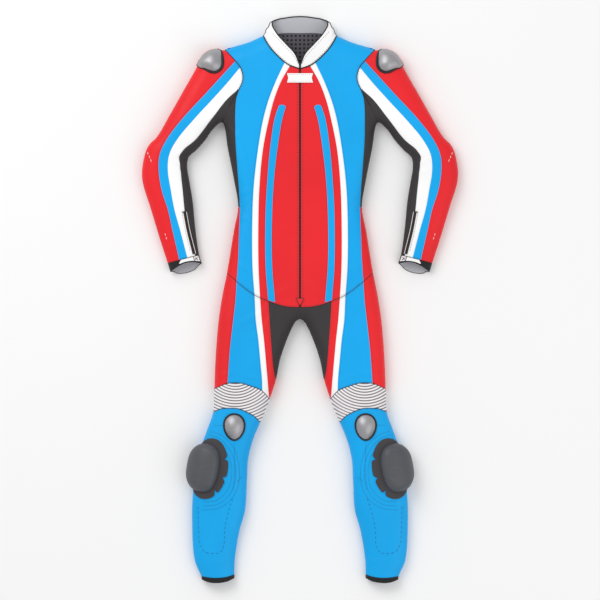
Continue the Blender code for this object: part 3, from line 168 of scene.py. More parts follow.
def linear(red: int, green: int, blue: int) -> Colour:
    """A display colour of 0 to 255 as a linear one.

    Args:
        red: 0 to 255.
        green: 0 to 255.
        blue: 0 to 255.

    Returns:
        The linear colour.
    """
    values = np.array([red, green, blue]) / 255
    bent = np.where(values <= 0.04045, values / 12.92, ((values + 0.055) / 1.055) ** 2.4)
    return tuple(float(v) for v in bent)


def scaled(colour: Colour, share: float) -> tuple[float, float, float, float]:
    """A colour made lighter or darker, with full opacity."""
    return tuple(min(1.0, value * share) for value in colour) + (1.0,)


class Nodes:
    """A material's node tree, with short calls that add and link nodes."""

    def __init__(self, name: str) -> None:
        """Starts a material.

        Args:
            name: its name.
        """
        self.material = bpy.data.materials.new(name)
        self.material.use_nodes = True
        self.tree = self.material.node_tree
        self.surface = self.tree.nodes["Principled BSDF"]
        self.coords = self.add("ShaderNodeTexCoord").outputs["Object"]

    def add(self, kind: str, inputs: Optional[dict] = None, **settings: object) -> bpy.types.Node:
        """Adds a node.

        Args:
            kind: the node's type.
            inputs: values or sockets for its inputs.
            settings: its other properties.

        Returns:
            The node.
        """
        node = self.tree.nodes.new(kind)
        for key, value in settings.items():
            setattr(node, key, value)
        for key, value in (inputs or {}).items():
            self.put(node.inputs[key], value)
        return node

    def put(self, socket: Socket, value: object) -> None:
        """Links a socket to an output, or sets its value.

        Args:
            socket: the input.
            value: an output or a value.
        """
        if isinstance(value, Socket):
            self.tree.links.new(value, socket)
        else:
            socket.default_value = value

    def finish(self, **inputs: object) -> Material:
        """Sets the surface's inputs, named with underscores for spaces, and returns the material.

        Args:
            inputs: values or outputs for the surface.

        Returns:
            The material.
        """
        for key, value in inputs.items():
            self.put(self.surface.inputs[key.replace("_", " ")], value)
        return self.material

    def noise(self, scale: float, detail: float = 2.0, stretch: tuple = (1, 1, 1)) -> Socket:
        """Noise from 0 to 1; scale is in cells a metre.

        Args:
            scale: cells a metre.
            detail: how many finer layers.
            stretch: factors along the axes.

        Returns:
            The noise.
        """
        place = self.add("ShaderNodeMapping", {"Vector": self.coords, "Scale": stretch})
        made = self.add("ShaderNodeTexNoise", {"Vector": place.outputs[0], "Scale": scale, "Detail": detail})
        return made.outputs["Fac"]

    def cells(self, scale: float, randomness: float = 1.0, flat: bool = False) -> Socket:
        """Distance to the nearest cell's middle, in cells; flat ones run through the cloth.

        Args:
            scale: cells a metre.
            randomness: 0 for even rows.
            flat: whether it is the same at all depths.

        Returns:
            The distance.
        """
        made = self.add("ShaderNodeTexVoronoi",
                        {"Vector": self.coords, "Scale": scale, "Randomness": randomness},
                        voronoi_dimensions="2D" if flat else "3D")
        return made.outputs["Distance"]

    def span(self, value: Socket, ends: tuple, to: tuple = (0.0, 1.0)) -> Socket:
        """Maps one range of values to another, held at its ends.

        Args:
            value: what is mapped.
            ends: its range.
            to: the new range.

        Returns:
            The mapped value.
        """
        made = self.add("ShaderNodeMapRange", {"Value": value, "From Min": ends[0], "From Max": ends[1],
                                               "To Min": to[0], "To Max": to[1]})
        return made.outputs["Result"]

    def mix(self, share: object, first: object, second: object) -> Socket:
        """A blend of two colours.

        Args:
            share: of the second.
            first: a colour.
            second: a colour.

        Returns:
            The blend.
        """
        made = self.add("ShaderNodeMix", data_type="RGBA")
        for index, value in ((0, share), (6, first), (7, second)):
            self.put(made.inputs[index], value)
        return made.outputs[2]

    def bump(self, height: object, depth: float, strength: float = 1.0,
             normal: Optional[Socket] = None) -> Socket:
        """A bumped normal; depth is in metres.

        Args:
            height: from 0 to 1.
            depth: for height 1.
            strength: its share.
            normal: one to add to.

        Returns:
            The normal.
        """
        made = self.add("ShaderNodeBump", {"Height": height, "Distance": depth, "Strength": strength})
        if normal is not None:
            self.put(made.inputs["Normal"], normal)
        return made.outputs["Normal"]


@dataclass(frozen=True)
class Finish:
    """What every finish has: a name, the record's material slot and a main colour."""

    name: str
    slot: str
    colour: Colour


@dataclass(frozen=True)
class Leather(Finish):
    """Dyed cowhide: pebble grain, fine pores, slow changes of tone and worn, smoother high spots."""

    roughness: float = 0.46
    grain: float = 0.35

    def material(self) -> Material:
        """Builds the material.

        Returns:
            The material.
        """
        nodes = Nodes(self.name)
        tone = nodes.span(nodes.noise(6.0, 3.0), (0.35, 0.65))
        fleck = nodes.span(nodes.noise(420.0, 2.0), (0.3, 0.7))
        base = nodes.mix(tone, scaled(self.colour, 0.95), scaled(self.colour, 1.03))
        base = nodes.mix(nodes.span(fleck, (0.0, 1.0), (0.0, 0.25)), base, scaled(self.colour, 0.93))
        grain = nodes.bump(nodes.cells(640.0), 0.00022, self.grain)
        pull = nodes.bump(nodes.noise(45.0, 4.0, (1.0, 0.6, 1.0)), 0.0012, 0.25, grain)
        wear = nodes.noise(30.0, 3.0)
        rough = nodes.span(wear, (0.3, 0.7), (self.roughness - 0.04, self.roughness + 0.06))
        return nodes.finish(Base_Color=base, Roughness=rough, Normal=pull, Specular_IOR_Level=0.25)


@dataclass(frozen=True)
class Knit(Finish):
    """A dull woven or knitted band with fine wales."""

    pitch: float = 1.6

    def material(self) -> Material:
        """Builds the material.

        Returns:
            The material.
        """
        nodes = Nodes(self.name)
        wave = nodes.add("ShaderNodeTexWave", {"Vector": nodes.coords, "Scale": 1000 / (self.pitch * 6.3),
                                               "Distortion": 0.4, "Detail": 1.0})
        base = nodes.mix(wave.outputs["Fac"], scaled(self.colour, 0.7), scaled(self.colour, 1.3))
        normal = nodes.bump(wave.outputs["Fac"], 0.0004, 0.5)
        normal = nodes.bump(nodes.noise(900.0, 2.0), 0.0002, 0.4, normal)
        return nodes.finish(Base_Color=base, Roughness=0.85, Normal=normal, Sheen_Weight=0.2)


@dataclass(frozen=True)
class RibbedStretch(Finish):
    """Pale stretch cloth with painted shade: its grooves take a darker colour, by a point attribute that is
    1 where the ribs are lowest.
    """

    groove_shade: Colour

    def material(self) -> Material:
        """Builds the material.

        Returns:
            The material.
        """
        nodes = Nodes(self.name)
        depth = nodes.add("ShaderNodeAttribute", attribute_name="groove_shade").outputs["Fac"]
        # painted shade: the deepest parts of the grooves take the darker colour
        dark = nodes.span(depth, (0.35, 0.9))
        base = nodes.mix(dark, scaled(self.colour, 1.0), scaled(self.groove_shade, 1.0))
        weave = nodes.bump(nodes.cells(1100.0, 0.4), 0.0002, 0.4)
        return nodes.finish(Base_Color=base, Roughness=0.75, Normal=weave, Sheen_Weight=0.15)


@dataclass(frozen=True)
class SpacerMesh(Finish):
    """Dark lining with rows of round holes, coloured near black: the darker layer behind them, with painted
    shade in them.
    """

    hole_shade: Colour
    pitch: float = 11.3
    hole_share: float = 0.27

    def material(self) -> Material:
        """Builds the material.

        Returns:
            The material.
        """
        nodes = Nodes(self.name)
        gap = nodes.cells(1000 / self.pitch, 0.0, True)
        # the holes take a near-black colour: the layer behind them, with painted shade
        inside = nodes.span(gap, (self.hole_share + 0.05, self.hole_share - 0.05))
        base = nodes.mix(inside, scaled(self.colour, 1.0), scaled(self.hole_shade, 1.0))
        normal = nodes.bump(nodes.span(gap, (0.2, 0.45)), 0.0008, 0.6)
        normal = nodes.bump(nodes.cells(900.0), 0.0002, 0.5, normal)
        return nodes.finish(Base_Color=base, Roughness=0.9, Normal=normal, Sheen_Weight=0.2)


@dataclass(frozen=True)
class BrushedMetal(Finish):
    """Satin anodised metal with fine scratches."""

    roughness: float = 0.3

    def material(self) -> Material:
        """Builds the material.

        Returns:
            The material.
        """
        nodes = Nodes(self.name)
        lines = nodes.noise(60.0, 5.0, (1.0, 14.0, 1.0))
        rough = nodes.span(lines, (0.3, 0.7), (self.roughness - 0.06, self.roughness + 0.1))
        tone = nodes.mix(nodes.noise(14.0, 2.0), scaled(self.colour, 0.92), scaled(self.colour, 1.05))
        normal = nodes.bump(lines, 0.00008, 0.3)
        return nodes.finish(Base_Color=tone, Metallic=0.85, Roughness=rough, Normal=normal)


@dataclass(frozen=True)
class MouldedPlastic(Finish):
    """Dark moulded plastic with a fine pitted surface and a few scuffs."""

    roughness: float = 0.5

    def material(self) -> Material:
        """Builds the material.

        Returns:
            The material.
        """
        nodes = Nodes(self.name)
        scuff = nodes.span(nodes.noise(38.0, 6.0, (1.0, 3.0, 1.0)), (0.56, 0.72))
        base = nodes.mix(nodes.span(scuff, (0.0, 1.0), (0.0, 0.3)), scaled(self.colour, 1.0),
                         scaled(self.colour, 1.6))
        normal = nodes.bump(nodes.noise(1400.0, 2.0), 0.00012, 0.5)
        rough = nodes.span(scuff, (0.0, 1.0), (self.roughness, self.roughness + 0.15))
        return nodes.finish(Base_Color=base, Roughness=rough, Normal=normal)


@dataclass(frozen=True)
class Thread(Finish):
    """Twisted sewing thread."""

    def material(self) -> Material:
        """Builds the material.

        Returns:
            The material.
        """
        nodes = Nodes(self.name)
        twist = nodes.add("ShaderNodeTexWave", {"Vector": nodes.coords, "Scale": 260.0, "Distortion": 1.0},
                          bands_direction="DIAGONAL").outputs["Fac"]
        base = nodes.mix(twist, scaled(self.colour, 0.8), scaled(self.colour, 1.05))
        return nodes.finish(Base_Color=base, Roughness=0.6, Normal=nodes.bump(twist, 0.0001, 0.6),
                            Sheen_Weight=0.2)


@dataclass(frozen=True)
class Paper(Finish):
    """The plain pale floor, which has no slot."""

    def material(self) -> Material:
        """Builds the material.

        Returns:
            The material.
        """
        nodes = Nodes(self.name)
        base = nodes.mix(nodes.noise(2.0, 2.0), scaled(self.colour, 0.99), scaled(self.colour, 1.0))
        return nodes.finish(Base_Color=base, Roughness=0.9, Specular_IOR_Level=0.1)


BLUE = linear(0, 168, 238)
RED = linear(234, 34, 42)
WHITE = linear(250, 250, 250)
DARK = linear(56, 53, 54)
BLACK = linear(14, 13, 14)

BLUE_LEATHER = Leather("blue_leather", "leather_blue", BLUE)
RED_LEATHER = Leather("red_leather", "leather_red", RED)
WHITE_LEATHER = Leather("white_leather", "leather_white", WHITE, 0.5)
DARK_STRETCH = Leather("dark_stretch_leather", "leather_dark", DARK, 0.6, 0.5)
BLACK_KNIT = Knit("black_knit", "hem_black", BLACK)
GREY_LINING = Leather("grey_lining", "leather_white", linear(186, 188, 194), 0.7, 0.5)
BLACK_EDGING = Knit("black_edging", "hem_black", linear(22, 20, 22), 1.2)
# the second colour is painted shade for the rib grooves
KNEE_STRETCH = RibbedStretch("knee_stretch_cloth", "stretch_rib", linear(242, 240, 242),
                             linear(120, 108, 112))
# the second colour fills the mesh holes: the layer behind them, with painted shade
NECK_MESH = SpacerMesh("neck_mesh", "mesh_lining", linear(92, 88, 96), linear(18, 17, 20))
SATIN_METAL = BrushedMetal("satin_metal", "cup_silver", linear(170, 169, 172), 0.44)
RUBBER = MouldedPlastic("black_rubber", "slider_grey", linear(24, 22, 24), 0.6)
PUCK_PLASTIC = MouldedPlastic("slider_plastic", "slider_grey", linear(76, 77, 82), 0.48)
PAD_PLASTIC = MouldedPlastic("pad_cloth", "leather_dark", linear(62, 58, 61), 0.75)
ZIP_TAPE = Knit("zip_tape", "zip_black", linear(34, 20, 22), 1.2)
ZIP_METAL = BrushedMetal("zip_metal", "zip_black", linear(70, 60, 62), 0.4)
WHITE_THREAD = Thread("white_thread", "leather_white", linear(250, 248, 246))
DARK_THREAD = Thread("dark_thread", "leather_dark", linear(40, 34, 38))
GREY_THREAD = Thread("grey_thread", "leather_white", linear(120, 116, 122))
BLUE_THREAD = Thread("deep_blue_thread", "leather_blue", linear(0, 84, 138))
RED_THREAD = Thread("deep_red_thread", "leather_red", linear(160, 28, 34))
FLOOR_PAPER = Paper("floor_paper", "", (0.93, 0.93, 0.93))

MADE: dict[str, Material] = {}


def material_of(finish: Finish) -> Material:
    """The material of a finish, built once.

    Args:
        finish: the finish.

    Returns:
        Its material.
    """
    if finish.name not in MADE:
        MADE[finish.name] = finish.material()
    return MADE[finish.name]


class Side(Enum):
    """The wearer's left and right halves."""

    LEFT = 1
    RIGHT = -1

    @property
    def tag(self) -> str:
        """The end of a piece's name."""
        return "_l" if self is Side.LEFT else "_r"


def length_of(vectors: Array) -> Array:
    """The vectors' lengths."""
    return np.linalg.norm(vectors, axis=-1)


def unit(vectors: Array) -> Array:
    """The vectors at length one: each over its length."""
    return vectors / length_of(vectors)[..., None]


def laid_flat(run: Array, normals: Array) -> Array:
    """Directions brought down on to a surface: each less its part along the normal, at length one."""
    return unit(run - normals * (run * normals).sum(1, keepdims=True))


def tape_of(path: Array) -> Array:
    """A tape along a path: the sum of the steps up to each of its points."""
    return np.concatenate([[0], np.cumsum(length_of(np.diff(path, axis=0)))])


def read_at(spots: Array, tape: Array, path: Array) -> Array:
    """The places on a path at readings of the tape along it, straight between its points."""
    return np.stack([np.interp(spots, tape, path[:, k]) for k in range(path.shape[1])], axis=-1)


def blend(first: Array, second: Array, low: float, high: float, t: Array) -> Array:
    """The place at t on the straight way from first, at low, to second, at high."""
    return ((high - t) * first + (t - low) * second) / (high - low)


def smooth(points: Points, steps: int = 7) -> Array:
    """A centripetal Catmull-Rom curve: knots the root of a chord apart, and pairs blended three times over.

    Args:
        points: what the curve goes through.
        steps: how many points it has for each of them.

    Returns:
        The dense points.
    """
    p = np.array(points, float)
    p = np.vstack([2 * p[0] - p[1], p, 2 * p[-1] - p[-2]])
    knot = np.concatenate([[0], np.cumsum(np.sqrt(length_of(np.diff(p, axis=0))))])
    pieces = []
    for i in range(1, len(p) - 2):
        k0, k1, k2, k3 = knot[i - 1:i + 3]
        t = np.linspace(k1, k2, steps, endpoint=False)[:, None]
        a1 = blend(p[i - 1], p[i], k0, k1, t)
        a2 = blend(p[i], p[i + 1], k1, k2, t)
        a3 = blend(p[i + 1], p[i + 2], k2, k3, t)
        pieces.append(blend(blend(a1, a2, k0, k2, t), blend(a2, a3, k1, k3, t), k1, k2, t))
    pieces.append(p[-2:-1])
    return np.vstack(pieces)


class Line:
    """A smooth curve in plan, measured along its length like a tape."""

    def __init__(self, points: Points, steps: int = 7) -> None:
        """Draws the curve through the points, with so many steps from each to the next."""
        self.points = smooth(points, steps)
        self.tape = tape_of(self.points)

    def at(self, length: Array) -> Array:
        """The points at the given tape readings."""
        return read_at(length, self.tape, self.points)

    def place(self, point: Array) -> float:
        """The tape reading nearest to a point.

        Args:
            point: the point.

        Returns:
            The reading.
        """
        start, step = self.points[:-1], np.diff(self.points, axis=0)
        t = np.clip(((np.array(point, float) - start) * step).sum(1) / (step * step).sum(1), 0, 1)
        best = int(np.argmin(np.linalg.norm(start + t[:, None] * step - point, axis=1)))
        return float(self.tape[best] + t[best] * (self.tape[best + 1] - self.tape[best]))

    def outward(self, length: Array, reach: float = 5.0) -> Array:
        """The unit normal on the left of the way the line runs, from points reach before and behind."""
        run = unit(self.at(np.add(length, reach)) - self.at(np.subtract(length, reach)))
        return np.stack([-run[..., 1], run[..., 0]], axis=-1)

    def up_at(self, out: Array) -> Array:
        """The height in plan at which the line passes a distance out."""
        order = np.argsort(self.points[:, 0])
        return np.interp(out, self.points[order, 0], self.points[order, 1])


TOP_OUTLINE = Line(SHOULDER_LINE + OUTER_ARM[1:])
SIDE_OUTLINE = Line(INNER_ARM + SIDE[1:])
LEG_OUTLINE = Line(INNER_LEG)
OUTLINES = (TOP_OUTLINE, SIDE_OUTLINE, LEG_OUTLINE)
WAIST_LINE = Line(WAIST_SEAM)


@dataclass(frozen=True)
class Crease:
    """A low fold: a soft ridge with a hollow beside it, which fades out along its length."""

    out: float
    up: float
    angle: float
    length: float
    width: float
    height: float
    bend: float = 0.0

    def rise(self, plan: Array) -> Array:
        """height, times e to minus (along / length) squared, times a ridge that turns into a hollow.

        Args:
            plan: plan points.

        Returns:
            How far it lifts them.
        """
        turn = math.radians(self.angle)
        rel = plan - (self.out, self.up)
        along = rel[..., 0] * math.cos(turn) + rel[..., 1] * math.sin(turn)
        across = rel[..., 1] * math.cos(turn) - rel[..., 0] * math.sin(turn)
        share = (across - self.bend * along ** 2 / self.length) / self.width
        return self.height * np.exp(-(along / self.length) ** 2 - share ** 2) * (1 - 1.6 * share)


CREASES = (
    Crease(318, 372, 8, 34, 7, 1.5, 0.2), Crease(322, 398, -14, 36, 7, 1.3, -0.2),
    Crease(330, 348, 18, 30, 8, 1.1), Crease(196, 470, 52, 42, 8, 1.4, 0.2),
    Crease(214, 486, 64, 36, 8, 1.2), Crease(176, 262, -8, 40, 9, 1.3, 0.2),
    Crease(172, 232, 10, 38, 9, 1.2, -0.2), Crease(160, 290, -18, 34, 9, 0.9),
    Crease(96, -70, -52, 46, 9, 1.3, 0.2), Crease(124, -40, -30, 50, 11, 1.1),
    Crease(60, -96, -66, 34, 8, 1.1), Crease(196, -196, -12, 34, 8, 1.0),
    Crease(130, -206, 16, 32, 8, 0.9), Crease(196, -700, -6, 34, 8, 1.2),
    Crease(256, -676, 12, 30, 8, 1.1), Crease(214, -650, -10, 36, 9, 0.8),
    Crease(338, 150, -14, 26, 7, 0.9), Crease(62, 20, -22, 40, 10, 1.0), Crease(140, 86, 24, 42, 10, 0.9),
)


def height_at(up: Array, arm: bool) -> Array:
    """The suit's height on the surface, along the suit or along a sleeve."""
    table = np.array(ARM_HEIGHT if arm else BODY_HEIGHT, float)
    return np.interp(up, table[:, 0], table[:, 1])


def nearest_in(line: Line, flat: Array) -> tuple[Array, Array]:
    """Distance from points to a line and the unit direction towards it.

    Args:
        line: the line.
        flat: the points.

    Returns:
        The distances and directions.
    """
    start, step = line.points[:-1], np.diff(line.points, axis=0)
    rel = flat[:, None] - start[None]
    t = np.clip((rel * step).sum(2) / (step * step).sum(1), 0, 1)
    gap = -rel + t[..., None] * step[None]
    size = np.linalg.norm(gap, axis=2)
    pick, rows = np.argmin(size, axis=1), np.arange(len(flat))
    near = size[rows, pick]
    towards = gap[rows, pick] / np.maximum(near, 1e-9)[:, None]
    tape = line.tape[pick] + t[rows, pick] * np.diff(line.tape)[pick]
    return near, np.where(near[:, None] < NEAR_EDGE, line.outward(tape), towards)


def nearest_outline(plan: Array, batch: int = 3000) -> tuple[Array, Array]:
    """Distance from plan points to the nearest outline and the unit direction towards it.

    Args:
        plan: the points.
        batch: how many are worked on at once.

    Returns:
        The distances and directions.
    """
    flat = plan.reshape(-1, 2)
    best, away = np.full(len(flat), 1e9), np.zeros_like(flat)
    for first in range(0, len(flat), batch):
        part = slice(first, first + batch)
        for line in OUTLINES:
            near, towards = nearest_in(line, flat[part])
            closer = near < best[part]
            best[part] = np.where(closer, near, best[part])
            away[part] = np.where(closer[:, None], towards, away[part])
    return best.reshape(plan.shape[:-1]), away.reshape(plan.shape)


def lay(plan: Array, lift: object = 0.0, arm: bool = False) -> tuple[Array, Array]:
    """Points on or over the skin above plan points, with the skin's normals.

    The skin is the suit's height where it is flat. Within EDGE_ROLL of an outline it is a quarter of an
    ellipse that comes down to SIDE_SHARE of that height. The creases are added along the normal.

    Args:
        plan: the plan points.
        lift: distance over the skin, one number or one for each point.
        arm: whether the points are on a sleeve.

    Returns:
        The points and the unit normals.
    """
    plan = np.asarray(plan, float)
    gap, away = nearest_outline(plan)
    high = height_at(plan[..., 1], arm)
    side = SIDE_SHARE * high
    short = 1 - np.clip(gap / EDGE_ROLL, 0, 1)
    rise = np.sqrt(1 - short * short)
    points = np.concatenate([plan, (side + (high - side) * rise)[..., None]], axis=-1)
    lean = away * ((high - side) * short)[..., None]
    normals = unit(np.concatenate([lean, (EDGE_ROLL * rise)[..., None]], axis=-1))
    fold = sum(crease.rise(plan) for crease in CREASES) * np.clip(gap / CREASE_FADE, 0, 1)
    return points + normals * (fold + lift)[..., None], normals


def wrapped(edge: Array, outward: Array, turns: Array, arm: bool) -> tuple[Array, Array]:
    """Points and normals on the quarter ellipse under an outline, for turns from 0 to 90 degrees.

    Args:
        edge: points on the outline.
        outward: its normals.
        turns: how far round.
        arm: whether on a sleeve.

    Returns:
        The points and normals.
    """
    side = SIDE_SHARE * height_at(edge[..., 1], arm)
    plan = edge - outward * FLOOR_ROLL * (1 - np.cos(turns))[..., None]
    points = np.concatenate([plan, (side * (1 - np.sin(turns)))[..., None]], axis=-1)
    flat = outward * (np.cos(turns) / FLOOR_ROLL)[..., None]
    normals = np.concatenate([flat, -(np.sin(turns) / side)[..., None]], axis=-1)
    return points, unit(normals)


def edge_wrap(line: Line, edge: Array, arm: bool, count: int = WRAP_TURNS) -> tuple[Array, Array]:
    """Wrap points from an outline down to the surface, one row for each edge point.

    Args:
        line: the outline.
        edge: points on it.
        arm: whether on a sleeve.
        count: points a row.

    Returns:
        The points and normals.
    """
    tape = np.array([line.place(point) for point in edge])
    shape = (len(edge), count)
    turns = np.broadcast_to(np.linspace(0, 0.5 * math.pi, count + 1)[1:], shape)
    outward = np.broadcast_to(line.outward(tape)[:, None], shape + (2,))
    return wrapped(np.broadcast_to(edge[:, None], shape + (2,)), outward, turns, arm)


def plan_inset(inset: Array, rise: float) -> Array:
    """The plan distance in from an outline for a distance measured over the roll.

    Args:
        inset: distances over the roll.
        rise: the roll's height.

    Returns:
        The plan distances.
    """
    turn = np.linspace(0, 0.5 * math.pi, 31)
    plan, up = EDGE_ROLL * (1 - np.cos(turn)), rise * np.sin(turn)
    tape = np.concatenate([[0], np.cumsum(np.hypot(np.diff(plan), np.diff(up)))])
    return np.interp(inset, tape, plan) + np.maximum(inset - tape[-1], 0)


def around(spots: Array, lift: Array) -> tuple[Array, Array]:
    """Points over the skin at (tape, inset) spots of the side outline; a negative inset goes under.

    Args:
        spots: the spots.
        lift: distances over the skin.

    Returns:
        The points and normals.
    """
    tape, inset = spots[..., 0], spots[..., 1]
    edge, outward = SIDE_OUTLINE.at(tape), SIDE_OUTLINE.outward(tape)
    rise = (1 - SIDE_SHARE) * float(np.mean(height_at(edge[..., 1], False)))
    over, over_normal = lay(edge - outward * plan_inset(inset, rise)[..., None])
    under, under_normal = wrapped(edge, outward, np.clip(-inset / FLOOR_ROLL, 0, 0.5 * math.pi), False)
    below = (inset < 0)[..., None]
    normals = np.where(below, under_normal, over_normal)
    return np.where(below, under, over) + normals * np.asarray(lift)[..., None], normals


@dataclass
class Shape:
    """A mesh in the making: points in millimetres, faces of three or four corners, and a value a face."""

    verts: Array
    faces: list[Array]
    parts: Optional[Array] = None
    values: Optional[Array] = None

    def turned_out(self) -> "Shape":
        """The shape with its faces outward, told by the sign of its volume.

        Returns:
            The shape itself.
        """
        volume = 0.0
        for faces in self.faces:
            for k in range(1, faces.shape[1] - 1):
                a, b, c = (self.verts[faces[:, i]] for i in (0, k, k + 1))
                volume += float((a * np.cross(b, c)).sum())
        if volume < 0:
            self.faces = [faces[:, ::-1] for faces in self.faces]
        return self

    def mirrored(self, side: Side) -> "Shape":
        """The shape on one side of the suit."""
        return Shape(self.verts * (side.value, 1, 1), list(self.faces), self.parts, self.values).turned_out()


def shell(outer: Array, inner: Array, mask: Optional[Array] = None, closed: bool = False,
          lined: bool = False) -> Shape:
    """A closed thin wall from two like grids of points.

    Args:
        outer: the outer grid.
        inner: the inner grid.
        mask: which cells there are.
        closed: whether the last column joins the first.
        lined: whether the inner faces take the second finish.

    Returns:
        The shape: both grids' quads and a rim of quads round them.
    """
    rows, columns = outer.shape[:2]
    half = rows * columns
    index = np.arange(half).reshape(rows, columns)
    if closed:
        index = np.concatenate([index, index[:, :1]], axis=1)
    cells = np.stack([index[:-1, :-1], index[:-1, 1:], index[1:, 1:], index[1:, :-1]], axis=-1)
    quads = cells[mask] if mask is not None else cells.reshape(-1, 4)
    edges = np.concatenate([quads[:, [k, (k + 1) % 4]] for k in range(4)])
    rim = edges[~np.isin(edges[:, 1] * half + edges[:, 0], edges[:, 0] * half + edges[:, 1])]
    sides = np.stack([rim[:, 1], rim[:, 0], rim[:, 0] + half, rim[:, 1] + half], axis=-1)
    faces = np.concatenate([quads, quads[:, ::-1] + half, sides])
    parts = np.concatenate([np.zeros(len(quads)), np.full(len(quads), int(lined)), np.zeros(len(sides))])
    verts = np.concatenate([outer.reshape(-1, 3), inner.reshape(-1, 3)])
    used, packed = np.unique(faces, return_inverse=True)
    return Shape(verts[used], [packed.reshape(-1, 4)], parts, used)


def torus(loops: Array) -> Shape:
    """A closed tube from loops of points, joined end to end in both directions.

    Args:
        loops: the loops.

    Returns:
        The shape.
    """
    rows, columns = loops.shape[:2]
    index = np.arange(rows * columns).reshape(rows, columns)
    nxt, side = np.roll(index, -1, axis=0), np.roll(index, -1, axis=1)
    both = np.roll(nxt, -1, axis=1)
    return Shape(loops.reshape(-1, 3), [np.stack([index, side, both, nxt], axis=-1).reshape(-1, 4)])


def rod(loops: Array) -> Shape:
    """A tube from loops of points, closed by a fan at each end.

    Args:
        loops: the loops.

    Returns:
        The shape.
    """
    rows, columns = loops.shape[:2]
    index = np.arange(rows * columns).reshape(rows, columns)
    side = np.roll(index, -1, axis=1)
    quads = np.stack([index[:-1], side[:-1], side[1:], index[1:]], axis=-1).reshape(-1, 4)
    first, last = rows * columns, rows * columns + 1
    starts = np.stack([side[0], index[0], np.full(columns, first)], axis=-1)
    ends = np.stack([index[-1], side[-1], np.full(columns, last)], axis=-1)
    verts = np.concatenate([loops.reshape(-1, 3), loops[:1].mean(1), loops[-1:].mean(1)])
    return Shape(verts, [quads, np.concatenate([starts, ends])])


def combined(shapes: Sequence[Shape]) -> Shape:
    """Several shapes as one, each already turned outward.

    Args:
        shapes: the shapes.

    Returns:
        The one shape.
    """
    verts, faces, start = [], [], 0
    for shape in shapes:
        verts.append(shape.verts)
        faces += [part + start for part in shape.faces]
        start += len(shape.verts)
    return Shape(np.concatenate(verts), faces)


def add_piece(name: str, shape: Shape, finishes: Sequence[Finish], nodes: Sequence[str] = (),
              groove_shade: Optional[Array] = None) -> Piece:
    """Makes a shape an object that rides on the suit.

    Args:
        name: the piece's name.
        shape: its points and faces, outward.
        finishes: its finishes, one for each part number of its faces.
        nodes: the CAD nodes that it replaces.
        groove_shade: a value a point for the attribute that places painted shade in the knee's grooves.

    Returns:
        The object.
    """
    name = "made_" + name if nodes else name
    mesh = bpy.data.meshes.new(name)
    sizes = np.concatenate([np.full(len(faces), faces.shape[1]) for faces in shape.faces])
    corners = np.concatenate([faces.ravel() for faces in shape.faces]).astype(np.int32)
    starts = np.concatenate([[0], np.cumsum(sizes)[:-1]]).astype(np.int32)
    mesh.vertices.add(len(shape.verts))
    mesh.vertices.foreach_set("co", (shape.verts * MM).astype(np.float32).ravel())
    mesh.loops.add(len(corners))
    mesh.loops.foreach_set("vertex_index", corners)
    mesh.polygons.add(len(sizes))
    mesh.polygons.foreach_set("loop_start", starts)
    for finish in finishes:
        mesh.materials.append(material_of(finish))
    if shape.parts is not None and len(finishes) > 1:
        mesh.polygons.foreach_set("material_index", shape.parts.astype(np.int32))
    mesh.update(calc_edges=True)
    if groove_shade is not None:
        mesh.attributes.new("groove_shade", "FLOAT", "POINT").data.foreach_set("value", groove_shade.astype(np.float32))
    mesh.shade_smooth()
    mesh.set_sharp_from_angle(angle=math.radians(38))
    piece = bpy.data.objects.new(name, mesh)
    bpy.context.scene.collection.objects.link(piece)
    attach(piece, BODY)
    if nodes:
        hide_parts(*nodes)
    LOG.info("%s: %d faces", name, len(sizes))
    return piece


def both_sides(name: str, shape: Shape, finishes: Sequence[Finish], replaces: bool = True,
               groove_shade: Optional[Array] = None) -> list[Piece]:
    """The left and right copies of a shape, in place of the CAD nodes of their names if replaces is set."""
    return [add_piece(name + side.tag, shape.mirrored(side), finishes,
                      [name + side.tag] if replaces else [], groove_shade) for side in Side]


class Track:
    """A side of a zone: a line's stretches, each from one row to the next corner's row."""

    def __init__(self, *legs: tuple[Line, Marks]) -> None:
        """Measures where each mark lies.

        Args:
            legs: the stretches, each a line and its marks.
        """
        self.legs = []
        for line, notches in legs:
            tapes = np.array([line.place(point) for point, _ in notches])
            self.legs.append((line, np.array([row for _, row in notches], float), tapes))

    def at(self, rows: Array) -> Array:
        """The points at the given rows.

        Args:
            rows: the rows.

        Returns:
            The points.
        """
        rows = np.asarray(rows, float)
        found = np.zeros(rows.shape + (2,))
        for line, marks, tapes in self.legs:
            here = (rows >= marks[0]) if line is not self.legs[0][0] else np.ones(rows.shape, bool)
            found[here] = line.at(np.interp(rows[here], marks, tapes))
        return found


def straight(first: Sequence[float], last: Sequence[float]) -> Line:
    """A straight line between two points."""
    return Line((first, last))


def leg_zone(outer: Marks, inner: Marks, top: Points, low: Points) -> "Zone":
    """Rows across a leg.

    Args:
        outer: points on the side outline, each with its row.
        inner: the like on the inner leg's outline.
        top: the seam along the first row.
        low: the seam along the last row.

    Returns:
        The zone.
    """
    return Zone(Track((SIDE_OUTLINE, outer)), Track((LEG_OUTLINE, inner)), outer[-1][1], top=Line(top),
                low=Line(low), lines=(SIDE_OUTLINE, LEG_OUTLINE))


class Missing(Enum):
    """The share of a row at which a seam counts where the row does not cross it."""

    OUTER = 0.0
    INNER = 1.0


@dataclass(frozen=True)
class Cut:
    """A panel of a zone: its rows, the seams beside it, and the sides on which it turns under."""

    name: str
    start: float
    stop: float
    low: Optional[Line] = None
    high: Optional[Line] = None
    low_missing: Missing = Missing.INNER
    high_missing: Missing = Missing.INNER
    outer_wrap: bool = False
    inner_wrap: bool = False
    top_wrap: bool = False
    wrap_from: float = 0.0
    beside_zip: bool = False


